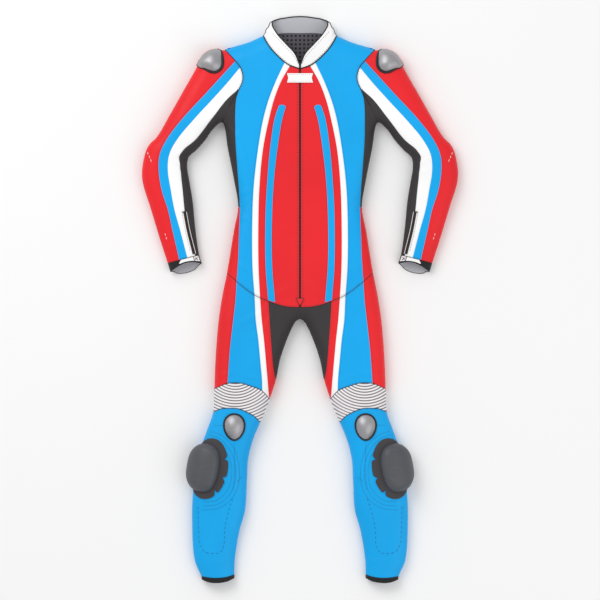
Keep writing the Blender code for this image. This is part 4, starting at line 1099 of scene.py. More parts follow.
@dataclass
class Patch:
    """A panel's grid: its points, normals, the cells it has, and the plain form of its cut."""

    points: Array
    normals: Array
    plain: Array
    mask: Array

    def shape(self) -> Shape:
        """The panel as a closed thin shell."""
        return shell(self.points, self.points - self.normals * LEATHER_THICK, self.mask)


def roll_steps(count: int) -> Array:
    """Plan distances in from an outline at even turns of its roll."""
    return EDGE_ROLL * (1 - np.cos(np.linspace(0, 0.5 * math.pi, count)[:-1]))


@dataclass(frozen=True)
class Spacing:
    """How a panel's rows or columns stand at one end: the close steps, and where the even ones begin."""

    steps: Sequence[float]
    free: float


SEAMED = Spacing(SEAM_STEPS, SEAM_FREE)
ROLLED = Spacing(roll_steps(12), EDGE_ROLL)
FINELY_ROLLED = Spacing(roll_steps(30), EDGE_ROLL)


def spaced(length: Array, first: Spacing, last: Spacing, count: int) -> Array:
    """Positions along a length, close together at its ends.

    The steps from each end are kept in full where the length allows, and shrunk together where not.

    Args:
        length: the length, or one for each row.
        first: the spacing at its start.
        last: the spacing at its end.
        count: how many even positions lie between.

    Returns:
        A row of positions for each length.
    """
    length = np.atleast_1d(np.asarray(length, float))[:, None]
    shrink = np.minimum(1.0, 0.9 * length / (first.free + last.free))
    head, tail = np.array(first.steps)[None] * shrink, length - np.array(last.steps)[None, ::-1] * shrink
    low, high = first.free * shrink, length - last.free * shrink
    return np.concatenate([head, low + (high - low) * np.linspace(0, 1, count)[None], tail], axis=1)


class Zone:
    """Rows of the suit between an outer and an inner track, bowed to fit curved seams."""

    def __init__(self, outer: Track, inner: Track, rows: int, notches: Sequence[float] = (),
                 top: Optional[Line] = None, low: Optional[Line] = None, low_from: float = 0.0,
                 arm: bool = False, lines: tuple[Optional[Line], Optional[Line]] = (None, None)) -> None:
        """Keeps what the rows run between.

        Args:
            outer: the side at share 0.
            inner: the side at share 1.
            rows: the last row.
            notches: rows that every panel has, as a seam has a corner there.
            top: the seam along the first row.
            low: the seam along the last row.
            low_from: the share of the rows from which the low seam bows them.
            arm: whether it is on a sleeve.
            lines: the outlines that panels turn under at, on either side.
        """
        self.outer, self.inner, self.last, self.notches = outer, inner, rows, notches
        self.top, self.low, self.low_from, self.arm, self.lines = top, low, low_from, arm, lines

    def bow(self, line: Line, row: float, share: Array) -> Array:
        """How far a seam lies above its chord, along the row.

        Args:
            line: the seam.
            row: the row.
            share: shares along it.

        Returns:
            The distances.
        """
        first, last = self.outer.at(row), self.inner.at(row)
        spot = first + share[..., None] * (last - first)
        return line.up_at(spot[..., 0]) - spot[..., 1]

    def at(self, rows: Array, share: Array) -> Array:
        """Plan points: outer + share x (inner - outer), lifted by the bow of the seam at either end.

        Args:
            rows: the rows.
            share: shares along each.

        Returns:
            The points.
        """
        rows = np.asarray(rows, float).reshape(-1, 1)
        outer, inner = self.outer.at(rows), self.inner.at(rows)
        plan = outer + share[..., None] * (inner - outer)
        part = rows / self.last
        if self.top is not None:
            plan[..., 1] += (1 - part) * self.bow(self.top, 0, share)
        if self.low is not None:
            weight = np.clip((part - self.low_from) / (1 - self.low_from), 0, 1)
            plan[..., 1] += weight * self.bow(self.low, self.last, share)
        return plan

    def crossing(self, row: float, seam: Line, missing: Missing) -> float:
        """The share along a row at which a seam crosses it.

        Args:
            row: the row.
            seam: the seam.
            missing: the share if it isn't crossed.

        Returns:
            The share.
        """
        share = np.linspace(0, 1, 41)
        path = self.at(row, share[None])[0]
        a, r = path[:-1, None], np.diff(path, axis=0)[:, None]
        c, q = seam.points[None, :-1], np.diff(seam.points, axis=0)[None]
        cross = r[..., 0] * q[..., 1] - r[..., 1] * q[..., 0]
        cross = np.where(np.abs(cross) < 1e-9, 1e-9, cross)
        gap = c - a
        t = (gap[..., 0] * q[..., 1] - gap[..., 1] * q[..., 0]) / cross
        u = (gap[..., 0] * r[..., 1] - gap[..., 1] * r[..., 0]) / cross
        hits = np.argwhere((t >= 0) & (t <= 1) & (u >= 0) & (u <= 1))
        if not len(hits):
            return missing.value
        i, j = hits[0]
        return float((i + t[i, j]) / (len(share) - 1))

    def bounds(self, rows: Array, cut: Cut) -> tuple[Array, Array]:
        """The shares at which a panel starts and ends on each row.

        Args:
            rows: the rows.
            cut: the panel.

        Returns:
            The lower and higher shares.
        """
        low, high = np.zeros(len(rows)), np.ones(len(rows))
        if cut.low is not None:
            low = np.array([self.crossing(row, cut.low, cut.low_missing) for row in rows])
        if cut.high is not None:
            high = np.array([self.crossing(row, cut.high, cut.high_missing) for row in rows])
        if cut.beside_zip:
            outer, inner = self.outer.at(rows)[:, 0], self.inner.at(rows)[:, 0]
            clear = np.maximum(ZIP_HALF + ZIP_CLEAR - inner, 0)
            high = np.minimum(high, 1 - clear / (outer - inner))
        return low, np.maximum(high, low)

    def rows_of(self, cut: Cut) -> tuple[Array, Array]:
        """A panel's rows, about ROW_STEP apart, and the length along the panel at each.

        Args:
            cut: the panel.

        Returns:
            The rows and the lengths.
        """
        rows = np.linspace(cut.start, cut.stop, 121)
        ends = self.ends(rows, *self.bounds(rows, cut))
        wide = length_of(ends[:, 1] - ends[:, 0]) > LEAST_WIDTH
        first, last = np.flatnonzero(wide)[[0, -1]]
        rows = rows[first:last + 1]
        tape = tape_of(ends[first:last + 1].mean(1))
        start = ROLLED if cut.top_wrap else SEAMED
        count = max(3, int((tape[-1] - start.free) / ROW_STEP))
        picked = np.interp(spaced(tape[-1], start, SEAMED, count)[0], tape, rows)
        corners = [n for n in self.notches if rows[0] < n < rows[-1]]
        picked = np.unique(np.round(np.concatenate([picked, corners]), 4))
        return picked, np.interp(picked, rows, tape)

    def ends(self, rows: Array, low: Array, high: Array) -> Array:
        """The two plan points of each row at the shares low and high."""
        return self.at(rows, np.stack([low, high], axis=1))

    def patch(self, cut: Cut) -> Patch:
        """A panel's grid, with its edges turned down into the seams and its sides turned under.

        Args:
            cut: the panel.

        Returns:
            Its grid.
        """
        rows, tape = self.rows_of(cut)
        low, high = self.bounds(rows, cut)
        ends = self.ends(rows, low, high)
        width = length_of(ends[:, 1] - ends[:, 0])
        head, tail = (ROLLED if wrap else SEAMED for wrap in (cut.outer_wrap, cut.inner_wrap))
        count = max(3, int((width.max() - head.free - tail.free) / COLUMN_STEP))
        places = spaced(width, head, tail, count)
        plan = self.at(rows, low[:, None] + (high - low)[:, None] * places / width[:, None])
        along = tape[-1] - tape if cut.top_wrap else np.minimum(tape, tape[-1] - tape)
        wrapping = (rows >= cut.wrap_from)[:, None]
        outer_seam = np.where(wrapping & cut.outer_wrap, np.inf, places)
        inner_seam = np.where(wrapping & cut.inner_wrap, np.inf, width[:, None] - places)
        reach = np.minimum(along[:, None], np.minimum(outer_seam, inner_seam))
        plain, _ = lay(plan, 0.0, self.arm)
        layers = [*lay(plan, -seam_dip(reach), self.arm), plain]
        mask = np.ones((plan.shape[0] - 1, plan.shape[1] - 1), bool)
        fresh = np.broadcast_to((rows[:-1] >= cut.wrap_from)[:, None], (len(rows) - 1, WRAP_TURNS))
        if cut.outer_wrap:
            wall, out = self.side_wrap(self.lines[0], plan[:, 0], along)
            walls = zip((wall, out, wall), layers)
            layers = [np.concatenate([np.flip(side, 1), layer], axis=1) for side, layer in walls]
            mask = np.concatenate([fresh, mask], axis=1)
        if cut.inner_wrap:
            wall, out = self.side_wrap(self.lines[1], plan[:, -1], along)
            layers = [np.concatenate(pair, axis=1) for pair in zip(layers, (wall, out, wall))]
            mask = np.concatenate([mask, fresh], axis=1)
        if cut.top_wrap:
            wall, out = edge_wrap(TOP_OUTLINE, plan[0], self.arm)
            wall, out = (np.flip(np.swapaxes(part, 0, 1), 0) for part in (wall, out))
            layers = [np.concatenate(pair, axis=0) for pair in zip((wall, out, wall), layers)]
            mask = np.concatenate([np.ones((WRAP_TURNS, mask.shape[1]), bool), mask], axis=0)
        return Patch(*layers, mask)

    def side_wrap(self, line: Line, edge: Array, along: Array) -> tuple[Array, Array]:
        """The turned-under side of a panel, with its seam edges turned in."""
        points, normals = edge_wrap(line, edge, self.arm)
        return points - normals * seam_dip(along)[:, None, None], normals


def seam_dip(reach: Array) -> Array:
    """How far leather turns down at a seam: SEAM_DEPTH at the seam, eased to nothing at SEAM_REACH."""
    share = np.clip(np.asarray(reach, float) / SEAM_REACH, 0, 1)
    return SEAM_DEPTH * (1 - share * share * (3 - 2 * share))


ARMHOLE_LINE = Line(ARMHOLE)
BLUE_EDGE_LINE, WHITE_OUT_LINE, WHITE_IN_LINE = Line(BLUE_EDGE), Line(WHITE_OUTER), Line(WHITE_INNER)
RED_BLUE_LINE, BLUE_WHITE_LINE, WHITE_DARK_LINE = Line(RED_BLUE), Line(BLUE_WHITE), Line(WHITE_DARK)
CROTCH_LINE = Line(CROTCH_SEAM)


@dataclass
class TorsoPanels:
    """The front from the shoulders to the waist seam."""

    tip_row: float = 14.0
    stripe_wall: float = 1.0
    stripe_lift: float = 0.5
    stripe_round: float = 0.014
    across: tuple[float, ...] = (0, 0.06, 0.14, 0.5, 0.86, 0.94, 1)
    drops: tuple[float, ...] = (0.9, 0.25, 0, 0, 0, 0.25, 0.9)

    def zone(self) -> Zone:
        """Rows from the armhole and the side to the neck and the centre front.

        Returns:
            The zone.
        """
        outer = Track((ARMHOLE_LINE, ARMHOLE_ROWS),
                      (SIDE_OUTLINE, ((ARMPIT, 10), (SIDE_TIP, 14), (WAIST_SIDE, 18))))
        inner = Track((Line(NECK_SEAM), NECK_ROWS),
                      (straight(NECK_CENTRE, WAIST_CENTRE),
                       ((NECK_CENTRE, 7), (CHEST_CENTRE, 10), (CENTRE_MIDDLE, 14), (WAIST_CENTRE, 18))))
        return Zone(outer, inner, 18, (2, 3, 5, 6, 7, 10, 14), top=Line(SHOULDER_LINE), low=WAIST_LINE,
                    low_from=TORSO_BOW_FROM, lines=(SIDE_OUTLINE, None))

    def build(self) -> None:
        """Dresses the blue, dark, red and white panels and lays on the stripes."""
        zone = self.zone()
        blue = {"low": BLUE_EDGE_LINE, "low_missing": Missing.OUTER}
        side = {"high": BLUE_EDGE_LINE, "high_missing": Missing.OUTER, "outer_wrap": True}
        plans = (
            (Cut("front_side", 0, 18, high=WHITE_OUT_LINE, top_wrap=True, **blue), BLUE_LEATHER),
            (Cut("underarm", 6, self.tip_row, wrap_from=10, **side), DARK_STRETCH),
            (Cut("hip", self.tip_row, 18, **side), RED_LEATHER),
            (Cut("front_piping", 5, 18, WHITE_OUT_LINE, WHITE_IN_LINE), WHITE_LEATHER),
            (Cut("front_center", 6, 18, low=WHITE_IN_LINE, beside_zip=True), RED_LEATHER),
        )
        for cut, finish in plans:
            dress(zone, cut, finish)
        self.stripes()

    def stripes(self) -> None:
        """The blue stripes: a ruled strip between two lines, with its edges turned down."""
        inner, outer = Line(STRIPE_INNER), Line(STRIPE_OUTER)
        part = np.concatenate([np.linspace(0, self.stripe_round, 8)[:-1],
                               np.linspace(self.stripe_round, 1, 104)])
        ends = np.stack([inner.at(part * inner.tape[-1]), outer.at(part * outer.tape[-1])], axis=1)
        round_top = np.sqrt(1 - (1 - np.clip(part / self.stripe_round, 0, 1)) ** 2)[:, None]
        share = 0.5 + (np.array(self.across)[None] - 0.5) * (0.3 + 0.7 * round_top)
        plan = ends[:, :1] + (ends[:, 1:] - ends[:, :1]) * share[..., None]
        lift = self.stripe_lift + self.stripe_wall - np.array(self.drops)
        points, _ = lay(plan, lift[None])
        shape = shell(points, lay(plan, self.stripe_lift - self.drops[0])[0])
        for piece, side in zip(both_sides("chest_stripe", shape, [BLUE_LEATHER]), Side):
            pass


def dress(zone: Zone, cut: Cut, finish: Finish) -> None:
    """Puts a panel's two copies in place of its CAD nodes.

    Args:
        zone: where the panel lies.
        cut: the panel.
        finish: its finish.
    """
    patch = zone.patch(cut)
    for piece in both_sides(cut.name, patch.shape(), [finish]):
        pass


@dataclass
class SleevePanels:
    """The four panels of a sleeve."""

    rows: int = 20

    def zone(self) -> Zone:
        """Rows across the sleeve, from the armhole to the cuff.

        Returns:
            The zone.
        """
        inner = Track((ARMHOLE_LINE, ARMHOLE_ROWS),
                      (SIDE_OUTLINE, ((ARMPIT, 10), (ELBOW_INNER, 14), (CUFF_INNER, 20))))
        return Zone(Track((TOP_OUTLINE, SLEEVE_ROWS)), inner, self.rows, (2, 3, 5, 6, 7, 10, 14), arm=True,
                    lines=(TOP_OUTLINE, SIDE_OUTLINE))

    def build(self) -> None:
        """Dresses the red, blue, white and dark panels."""
        zone = self.zone()
        plans = (
            (Cut("sleeve_outer", 0, 20, high=RED_BLUE_LINE, outer_wrap=True), RED_LEATHER),
            (Cut("sleeve_blue", 2, 20, RED_BLUE_LINE, BLUE_WHITE_LINE), BLUE_LEATHER),
            (Cut("sleeve_white", 3, 20, BLUE_WHITE_LINE, WHITE_DARK_LINE), WHITE_LEATHER),
            (Cut("sleeve_inner", 6, 20, low=WHITE_DARK_LINE, inner_wrap=True, wrap_from=10), DARK_STRETCH),
        )
        for cut, finish in plans:
            dress(zone, cut, finish)


@dataclass
class LegPanels:
    """The thighs, the crotch, the shins and the ribbed knees."""

    rib_centre: tuple[float, float] = (174, -176)
    rib_pitch: float = 7.7
    rib_rise: float = 2.0
    rib_power: float = 0.7
    rib_thick: float = 1.6
    rib_fade: float = 3.0
    floor_fade: float = 20.0
    knee_tall: float = 62.0
    knee_dip: float = 0.6
    knee_grid: tuple[int, int] = (96, 42)
    crotch_start: float = 0.1
    crotch_grid: tuple[int, int] = (110, 16)
    seam_rows: float = 5.0
    waist_outs: tuple[float, ...] = (CROTCH_START[0], 57.6, 30.2, 0)

    def thigh(self) -> Zone:
        """Rows across the thigh, from the waist seam to the knee.

        Returns:
            The zone.
        """
        outer = Track((SIDE_OUTLINE, ((WAIST_SIDE, 0), (KNEE_TOP_OUTER, 6))))
        inner = Track((CROTCH_LINE, ((CROTCH_START, 0), (CROTCH_END, 5))),
                      (LEG_OUTLINE, ((CROTCH_END, 5), (KNEE_TOP_INNER, 6))))
        return Zone(outer, inner, 6, (5,), top=WAIST_LINE, low=Line(KNEE_TOP_SEAM),
                    lines=(SIDE_OUTLINE, LEG_OUTLINE))

    def shin(self) -> Zone:
        """Rows across the lower leg, from the knee to the hem.

        Returns:
            The zone.
        """
        return leg_zone(((KNEE_LOW_OUTER, 0), ((273, -419), 4), ((291, -560), 8), (HEM_TOP_OUTER, 11)),
                        ((KNEE_LOW_INNER, 0), ((138, -419), 4), ((147, -560), 8), (HEM_TOP_INNER, 11)),
                        KNEE_LOW_SEAM, HEM_TOP_SEAM)

    def build(self) -> None:
        """Dresses the panels from the waist seam to the hem."""
        thigh = self.thigh()
        outer = {"high": BLUE_EDGE_LINE, "high_missing": Missing.OUTER, "outer_wrap": True}
        front = {"low": BLUE_EDGE_LINE, "low_missing": Missing.OUTER, "high": WHITE_OUT_LINE}
        plans = (
            (Cut("thigh_outer", 0, 6, **outer), RED_LEATHER),
            (Cut("thigh_front", 0, 6, **front), BLUE_LEATHER),
            (Cut("thigh_white", 0, 6, WHITE_OUT_LINE, WHITE_IN_LINE), WHITE_LEATHER),
            (Cut("thigh_stripe", 0, 6, low=WHITE_IN_LINE, inner_wrap=True, wrap_from=5), RED_LEATHER),
        )
        for cut, finish in plans:
            dress(thigh, cut, finish)
        dress(self.shin(), Cut("shin", 0, 11, outer_wrap=True, inner_wrap=True), BLUE_LEATHER)
        self.crotch()
        self.knees()

    def crotch(self) -> None:
        """The dark panel: rows carried from its seams round to the inner leg outline, then turned under."""
        last = self.seam_rows + len(self.waist_outs) - 1
        row = np.linspace(self.crotch_start, last, self.crotch_grid[0])
        seam = CROTCH_LINE.at(np.interp(row, (0, self.seam_rows), (CROTCH_LINE.tape[-1], 0)))
        outs = np.interp(row, np.linspace(self.seam_rows, last, len(self.waist_outs)), self.waist_outs)
        waist = np.stack([outs, WAIST_LINE.up_at(outs)], axis=1)
        top = np.where((row > self.seam_rows)[:, None], waist, seam)
        tapes = (LEG_OUTLINE.place(CROTCH_END), LEG_OUTLINE.tape[-1])
        ends = LEG_OUTLINE.at(np.interp(row, (0, last), tapes))
        width = length_of(ends - top)
        places = spaced(width, SEAMED, ROLLED, self.crotch_grid[1])
        plan = top[:, None] + (ends - top)[:, None] * (places / width[:, None])[..., None]
        points, normals = lay(plan, -seam_dip(places))
        wall, out = edge_wrap(LEG_OUTLINE, ends, False)
        turns = np.linspace(0, 0.5 * math.pi, WRAP_TURNS + 1)[1:]
        middle, down = (np.broadcast_to(np.array(pair, float), (WRAP_TURNS, 2)) for pair in
                        (ends[-1], (0, -1)))
        tail = np.clip(row - (last - 1), 0, 1)[:, None, None]
        for layer, fixed in zip((wall, out), wrapped(middle, down, turns, False)):
            shift = fixed - layer[-1]
            layer += tail * shift[None]
        points, normals = np.concatenate([points, wall], 1), np.concatenate([normals, out], 1)
        normals[-1, :, 0] = 0
        points, normals = (np.concatenate([grid, np.flip(grid[:-1], 0) * (-1, 1, 1)]) for grid in
                           (points, unit(normals)))
        shape = shell(points, points - normals * LEATHER_THICK).turned_out()
        piece = add_piece("crotch", shape, [DARK_STRETCH], ["crotch"])

    def knees(self) -> None:
        """The stretch panels: ribs rise as a wave of the distance from a point above the knee."""
        zone = leg_zone(((KNEE_TOP_OUTER, 0), (KNEE_LOW_OUTER, 1)),
                        ((KNEE_TOP_INNER, 0), (KNEE_LOW_INNER, 1)), KNEE_TOP_SEAM, KNEE_LOW_SEAM)
        rows = np.linspace(0, 1, self.knee_grid[0])
        ends = zone.ends(rows, np.zeros(len(rows)), np.ones(len(rows)))
        width = length_of(ends[:, 1] - ends[:, 0])
        places = spaced(width, FINELY_ROLLED, FINELY_ROLLED, self.knee_grid[1])
        plan = zone.at(rows, places / width[:, None])
        along = np.minimum(rows, 1 - rows) * self.knee_tall
        walls = [edge_wrap(line, plan[:, end], False) for line, end in zip(zone.lines, (0, -1))]
        points, normals = (np.concatenate([np.flip(first, 1), middle, last], axis=1)
                           for first, middle, last in zip(walls[0], lay(plan), walls[1]))
        radius = length_of(points[..., :2] - self.rib_centre)
        wave = 0.5 + 0.5 * np.cos(2 * math.pi * radius / self.rib_pitch)
        fade = np.clip(along / self.rib_fade, 0, 1)[:, None]
        fade = fade * np.clip(points[..., 2] / self.floor_fade, 0, 1)
        lift = self.rib_rise * wave ** self.rib_power * fade - seam_dip(along)[:, None] * self.knee_dip
        shape = shell(points + normals * lift[..., None], points - normals * self.rib_thick)
        # painted shade in the grooves: 1 where the ribs are lowest
        groove_shade = np.concatenate([(1 - wave).reshape(-1)] * 2)[shape.values]
        for piece in both_sides("knee_stretch", shape, [KNEE_STRETCH], groove_shade=groove_shade):
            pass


def ring_grid(zone: Zone, rows: int, columns: Array, back_low: float, arm: bool) -> tuple[Array, Array]:
    """A band round a limb's end: front rows, both turned sides, and the part that lies on the surface.

    Args:
        zone: the band's front.
        rows: how many rows.
        columns: shares across the front.
        back_low: how far the back's lower edge reaches past the front's.
        arm: whether it is on a sleeve.

    Returns:
        The grid's points and normals; its last column is next to its first.
    """
    row = np.linspace(0, zone.last, rows)
    plan = zone.at(row, np.tile(columns, (rows, 1)))
    points, normals = lay(plan, 0.0, arm)
    first, last = (edge_wrap(line, plan[:, end], arm) for line, end in zip(zone.lines, (0, -1)))
    shares = np.linspace(0, 1, 16)[1:-1]
    start, end = last[0][:, -1], first[0][:, -1]
    bottom = start[:, None] + (end - start)[:, None] * shares[None, :, None]
    turned = 1 - np.cos(np.linspace(0, 0.5 * math.pi, WRAP_TURNS + 1)[1:])
    left, right = plan[-1, 0, 0], plan[-1, -1, 0]
    for part, weight in ((first[0], turned), (last[0], turned), (bottom, np.ones(len(shares)))):
        across = np.clip((part[..., 0] - left) / (right - left), 0, 1)
        low = np.sin(math.pi * across) ** 0.7 * weight[None]
        part[..., 1] -= (row / zone.last)[:, None] * back_low * low
    down = np.zeros_like(bottom)
    down[..., 2] = -1
    return (np.concatenate([points, last[0], bottom, np.flip(first[0], 1)], axis=1),
            np.concatenate([normals, last[1], down, np.flip(first[1], 1)], axis=1))


def rolled_shares(count: int) -> Array:
    """Shares from 0 to 1, closer together towards both sides."""
    even = np.linspace(0, 1, count)
    return 0.8 * (0.5 - 0.5 * np.cos(math.pi * even)) + 0.2 * even


@dataclass
class LimbEnds:
    """The ankle hems and the cuffs with their tabs."""

    hem_drop: float = 4.0
    cuff_drop: float = 14.0
    lip_rise: float = 13.0
    wall: float = 2.0
    hem_full: float = 0.5
    edging: float = 1.2
    tab_wall: float = 1.4
    tab_lift: float = 0.5
    tab_rows: tuple[float, float] = (0.05, 0.86)
    tab_shares: tuple[float, float] = (0.3, 0.955)
    tab_grid: tuple[int, int] = (13, 30)
    tip: float = 0.075
    tip_rows: tuple[float, float] = (-1.6, 0.4)
    square: int = 23
    threads: tuple[float, float, float] = (0.6, 0.85, 0.9)

    def build(self) -> None:
        """Dresses both."""
        self.hems()
        self.cuffs()

    def hems(self) -> None:
        """The black bands: a ring of even wall, a little fuller between its edges."""
        zone = leg_zone(((HEM_TOP_OUTER, 0), (HEM_LOW_OUTER, 1)), ((HEM_TOP_INNER, 0), (HEM_LOW_INNER, 1)),
                        HEM_TOP_SEAM, HEM_LOW_SEAM)
        points, normals = ring_grid(zone, 8, rolled_shares(34), self.hem_drop, False)
        full = self.hem_full * np.sin(math.pi * np.linspace(0, 1, 8))[:, None, None]
        full = full * (normals[..., 2:] > -0.9)
        shape = shell(points + normals * full, points - normals * self.wall, closed=True)
        for piece in both_sides("ankle_hem", shape, [BLACK_KNIT]):
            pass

    def cuff_zone(self) -> Zone:
        """The cuff's front, whose lip is cut back in the middle.

        Returns:
            The zone.
        """
        outs = np.linspace(MOUTH_INNER[0], MOUTH_OUTER[0], 9)
        share = (outs - MOUTH_INNER[0]) / (MOUTH_OUTER[0] - MOUTH_INNER[0])
        ups = MOUTH_INNER[1] + share * (MOUTH_OUTER[1] - MOUTH_INNER[1])
        lip = Line(np.stack([outs, ups + self.lip_rise * np.sin(math.pi * share)], axis=1))
        outer = Track((TOP_OUTLINE, ((CUFF_OUTER, 0), (MOUTH_OUTER, 1))))
        inner = Track((SIDE_OUTLINE, ((CUFF_INNER, 0), (MOUTH_INNER, 1))))
        return Zone(outer, inner, 1, low=lip, arm=True, lines=(TOP_OUTLINE, SIDE_OUTLINE))

    def cuffs(self) -> None:
        """The cuffs, black outside and grey inside, with an edged lip."""
        zone = self.cuff_zone()
        points, normals = ring_grid(zone, 9, rolled_shares(34), self.cuff_drop, True)
        shape = shell(points, points - normals * self.wall, closed=True, lined=True)
        lip = tube(0.5 * (points[-1] + points[-1] - normals[-1] * self.wall), self.edging, True)
        edges = both_sides("cuff_edge", lip, [BLACK_EDGING], replaces=False)
        for piece, edge in zip(both_sides("cuff", shape, [BLACK_KNIT, GREY_LINING]), edges):
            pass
        self.tabs(zone)

    def tabs(self, zone: Zone) -> None:
        """The white tabs on the cuffs, with a pointed end, a sewn border and a sewn cross.

        Args:
            zone: the cuff's front.
        """
        rows = np.linspace(*self.tab_rows, self.tab_grid[0])
        share = np.linspace(*self.tab_shares, self.tab_grid[1])
        tip = np.abs(np.linspace(*self.tip_rows, len(rows)))[:, None] * self.tip
        grid = share + tip * (1 - (share - share[0]) / (share[-1] - share[0]))[None]
        points, normals = lay(zone.at(rows, grid), self.tab_lift + self.tab_wall, True)
        border = np.concatenate([points[0], points[1:-1, -1], np.flip(points[-1], 0),
                                 np.flip(points[1:-1, 0], 0)])
        fine, cross, divider = self.threads
        sewn = [tube(border, fine, True)]
        for first, last in ((3, -4), (-4, 3)):
            sewn.append(tube(self.between(points[first, self.square], points[last, -3]), cross))
        edge = points[:, self.square - 2]
        sewn.append(tube(self.between(edge[0], edge[-1]), divider))
        sewing = both_sides("cuff_tab_stitches", combined(sewn), [DARK_THREAD], replaces=False)
        tabs = both_sides("cuff_tab", shell(points, points - normals * self.tab_wall), [WHITE_LEATHER])

    @staticmethod
    def between(first: Array, last: Array) -> Array:
        """A straight thread that lies half a millimetre over the tab."""
        return first + (last - first) * np.linspace(0, 1, 8)[:, None] + (0, 0, 0.5)


def shares_along(points: Array) -> Array:
    """How far along a line each of its points lies, from 0 to 1."""
    tape = tape_of(points)
    return tape / tape[-1]


def tube(path: Array, radius: float, closed: bool = False, sides: int = 8) -> Shape:
    """A round tube: each ring is its path's point plus radius x (cos, sin) in the cross plane.

    Args:
        path: its middle line.
        radius: its radius.
        closed: whether the path's end joins its start.
        sides: how many points a ring has.

    Returns:
        The shape.
    """
    if closed:
        run = unit(np.roll(path, -1, axis=0) - np.roll(path, 1, axis=0))
    else:
        run = unit(np.gradient(path, axis=0))
    across = np.cross(run, (0, 0, 1.0))
    size = length_of(across)[:, None]
    across = np.where(size > 0.05, across / np.maximum(size, 1e-6), (1.0, 0, 0))
    up = np.cross(across, run)
    angle = np.linspace(0, 2 * math.pi, sides, endpoint=False)
    rings = across[:, None] * np.cos(angle)[None, :, None] + up[:, None] * np.sin(angle)[None, :, None]
    loops = path[:, None] + radius * rings
    return (torus(loops) if closed else rod(loops)).turned_out()


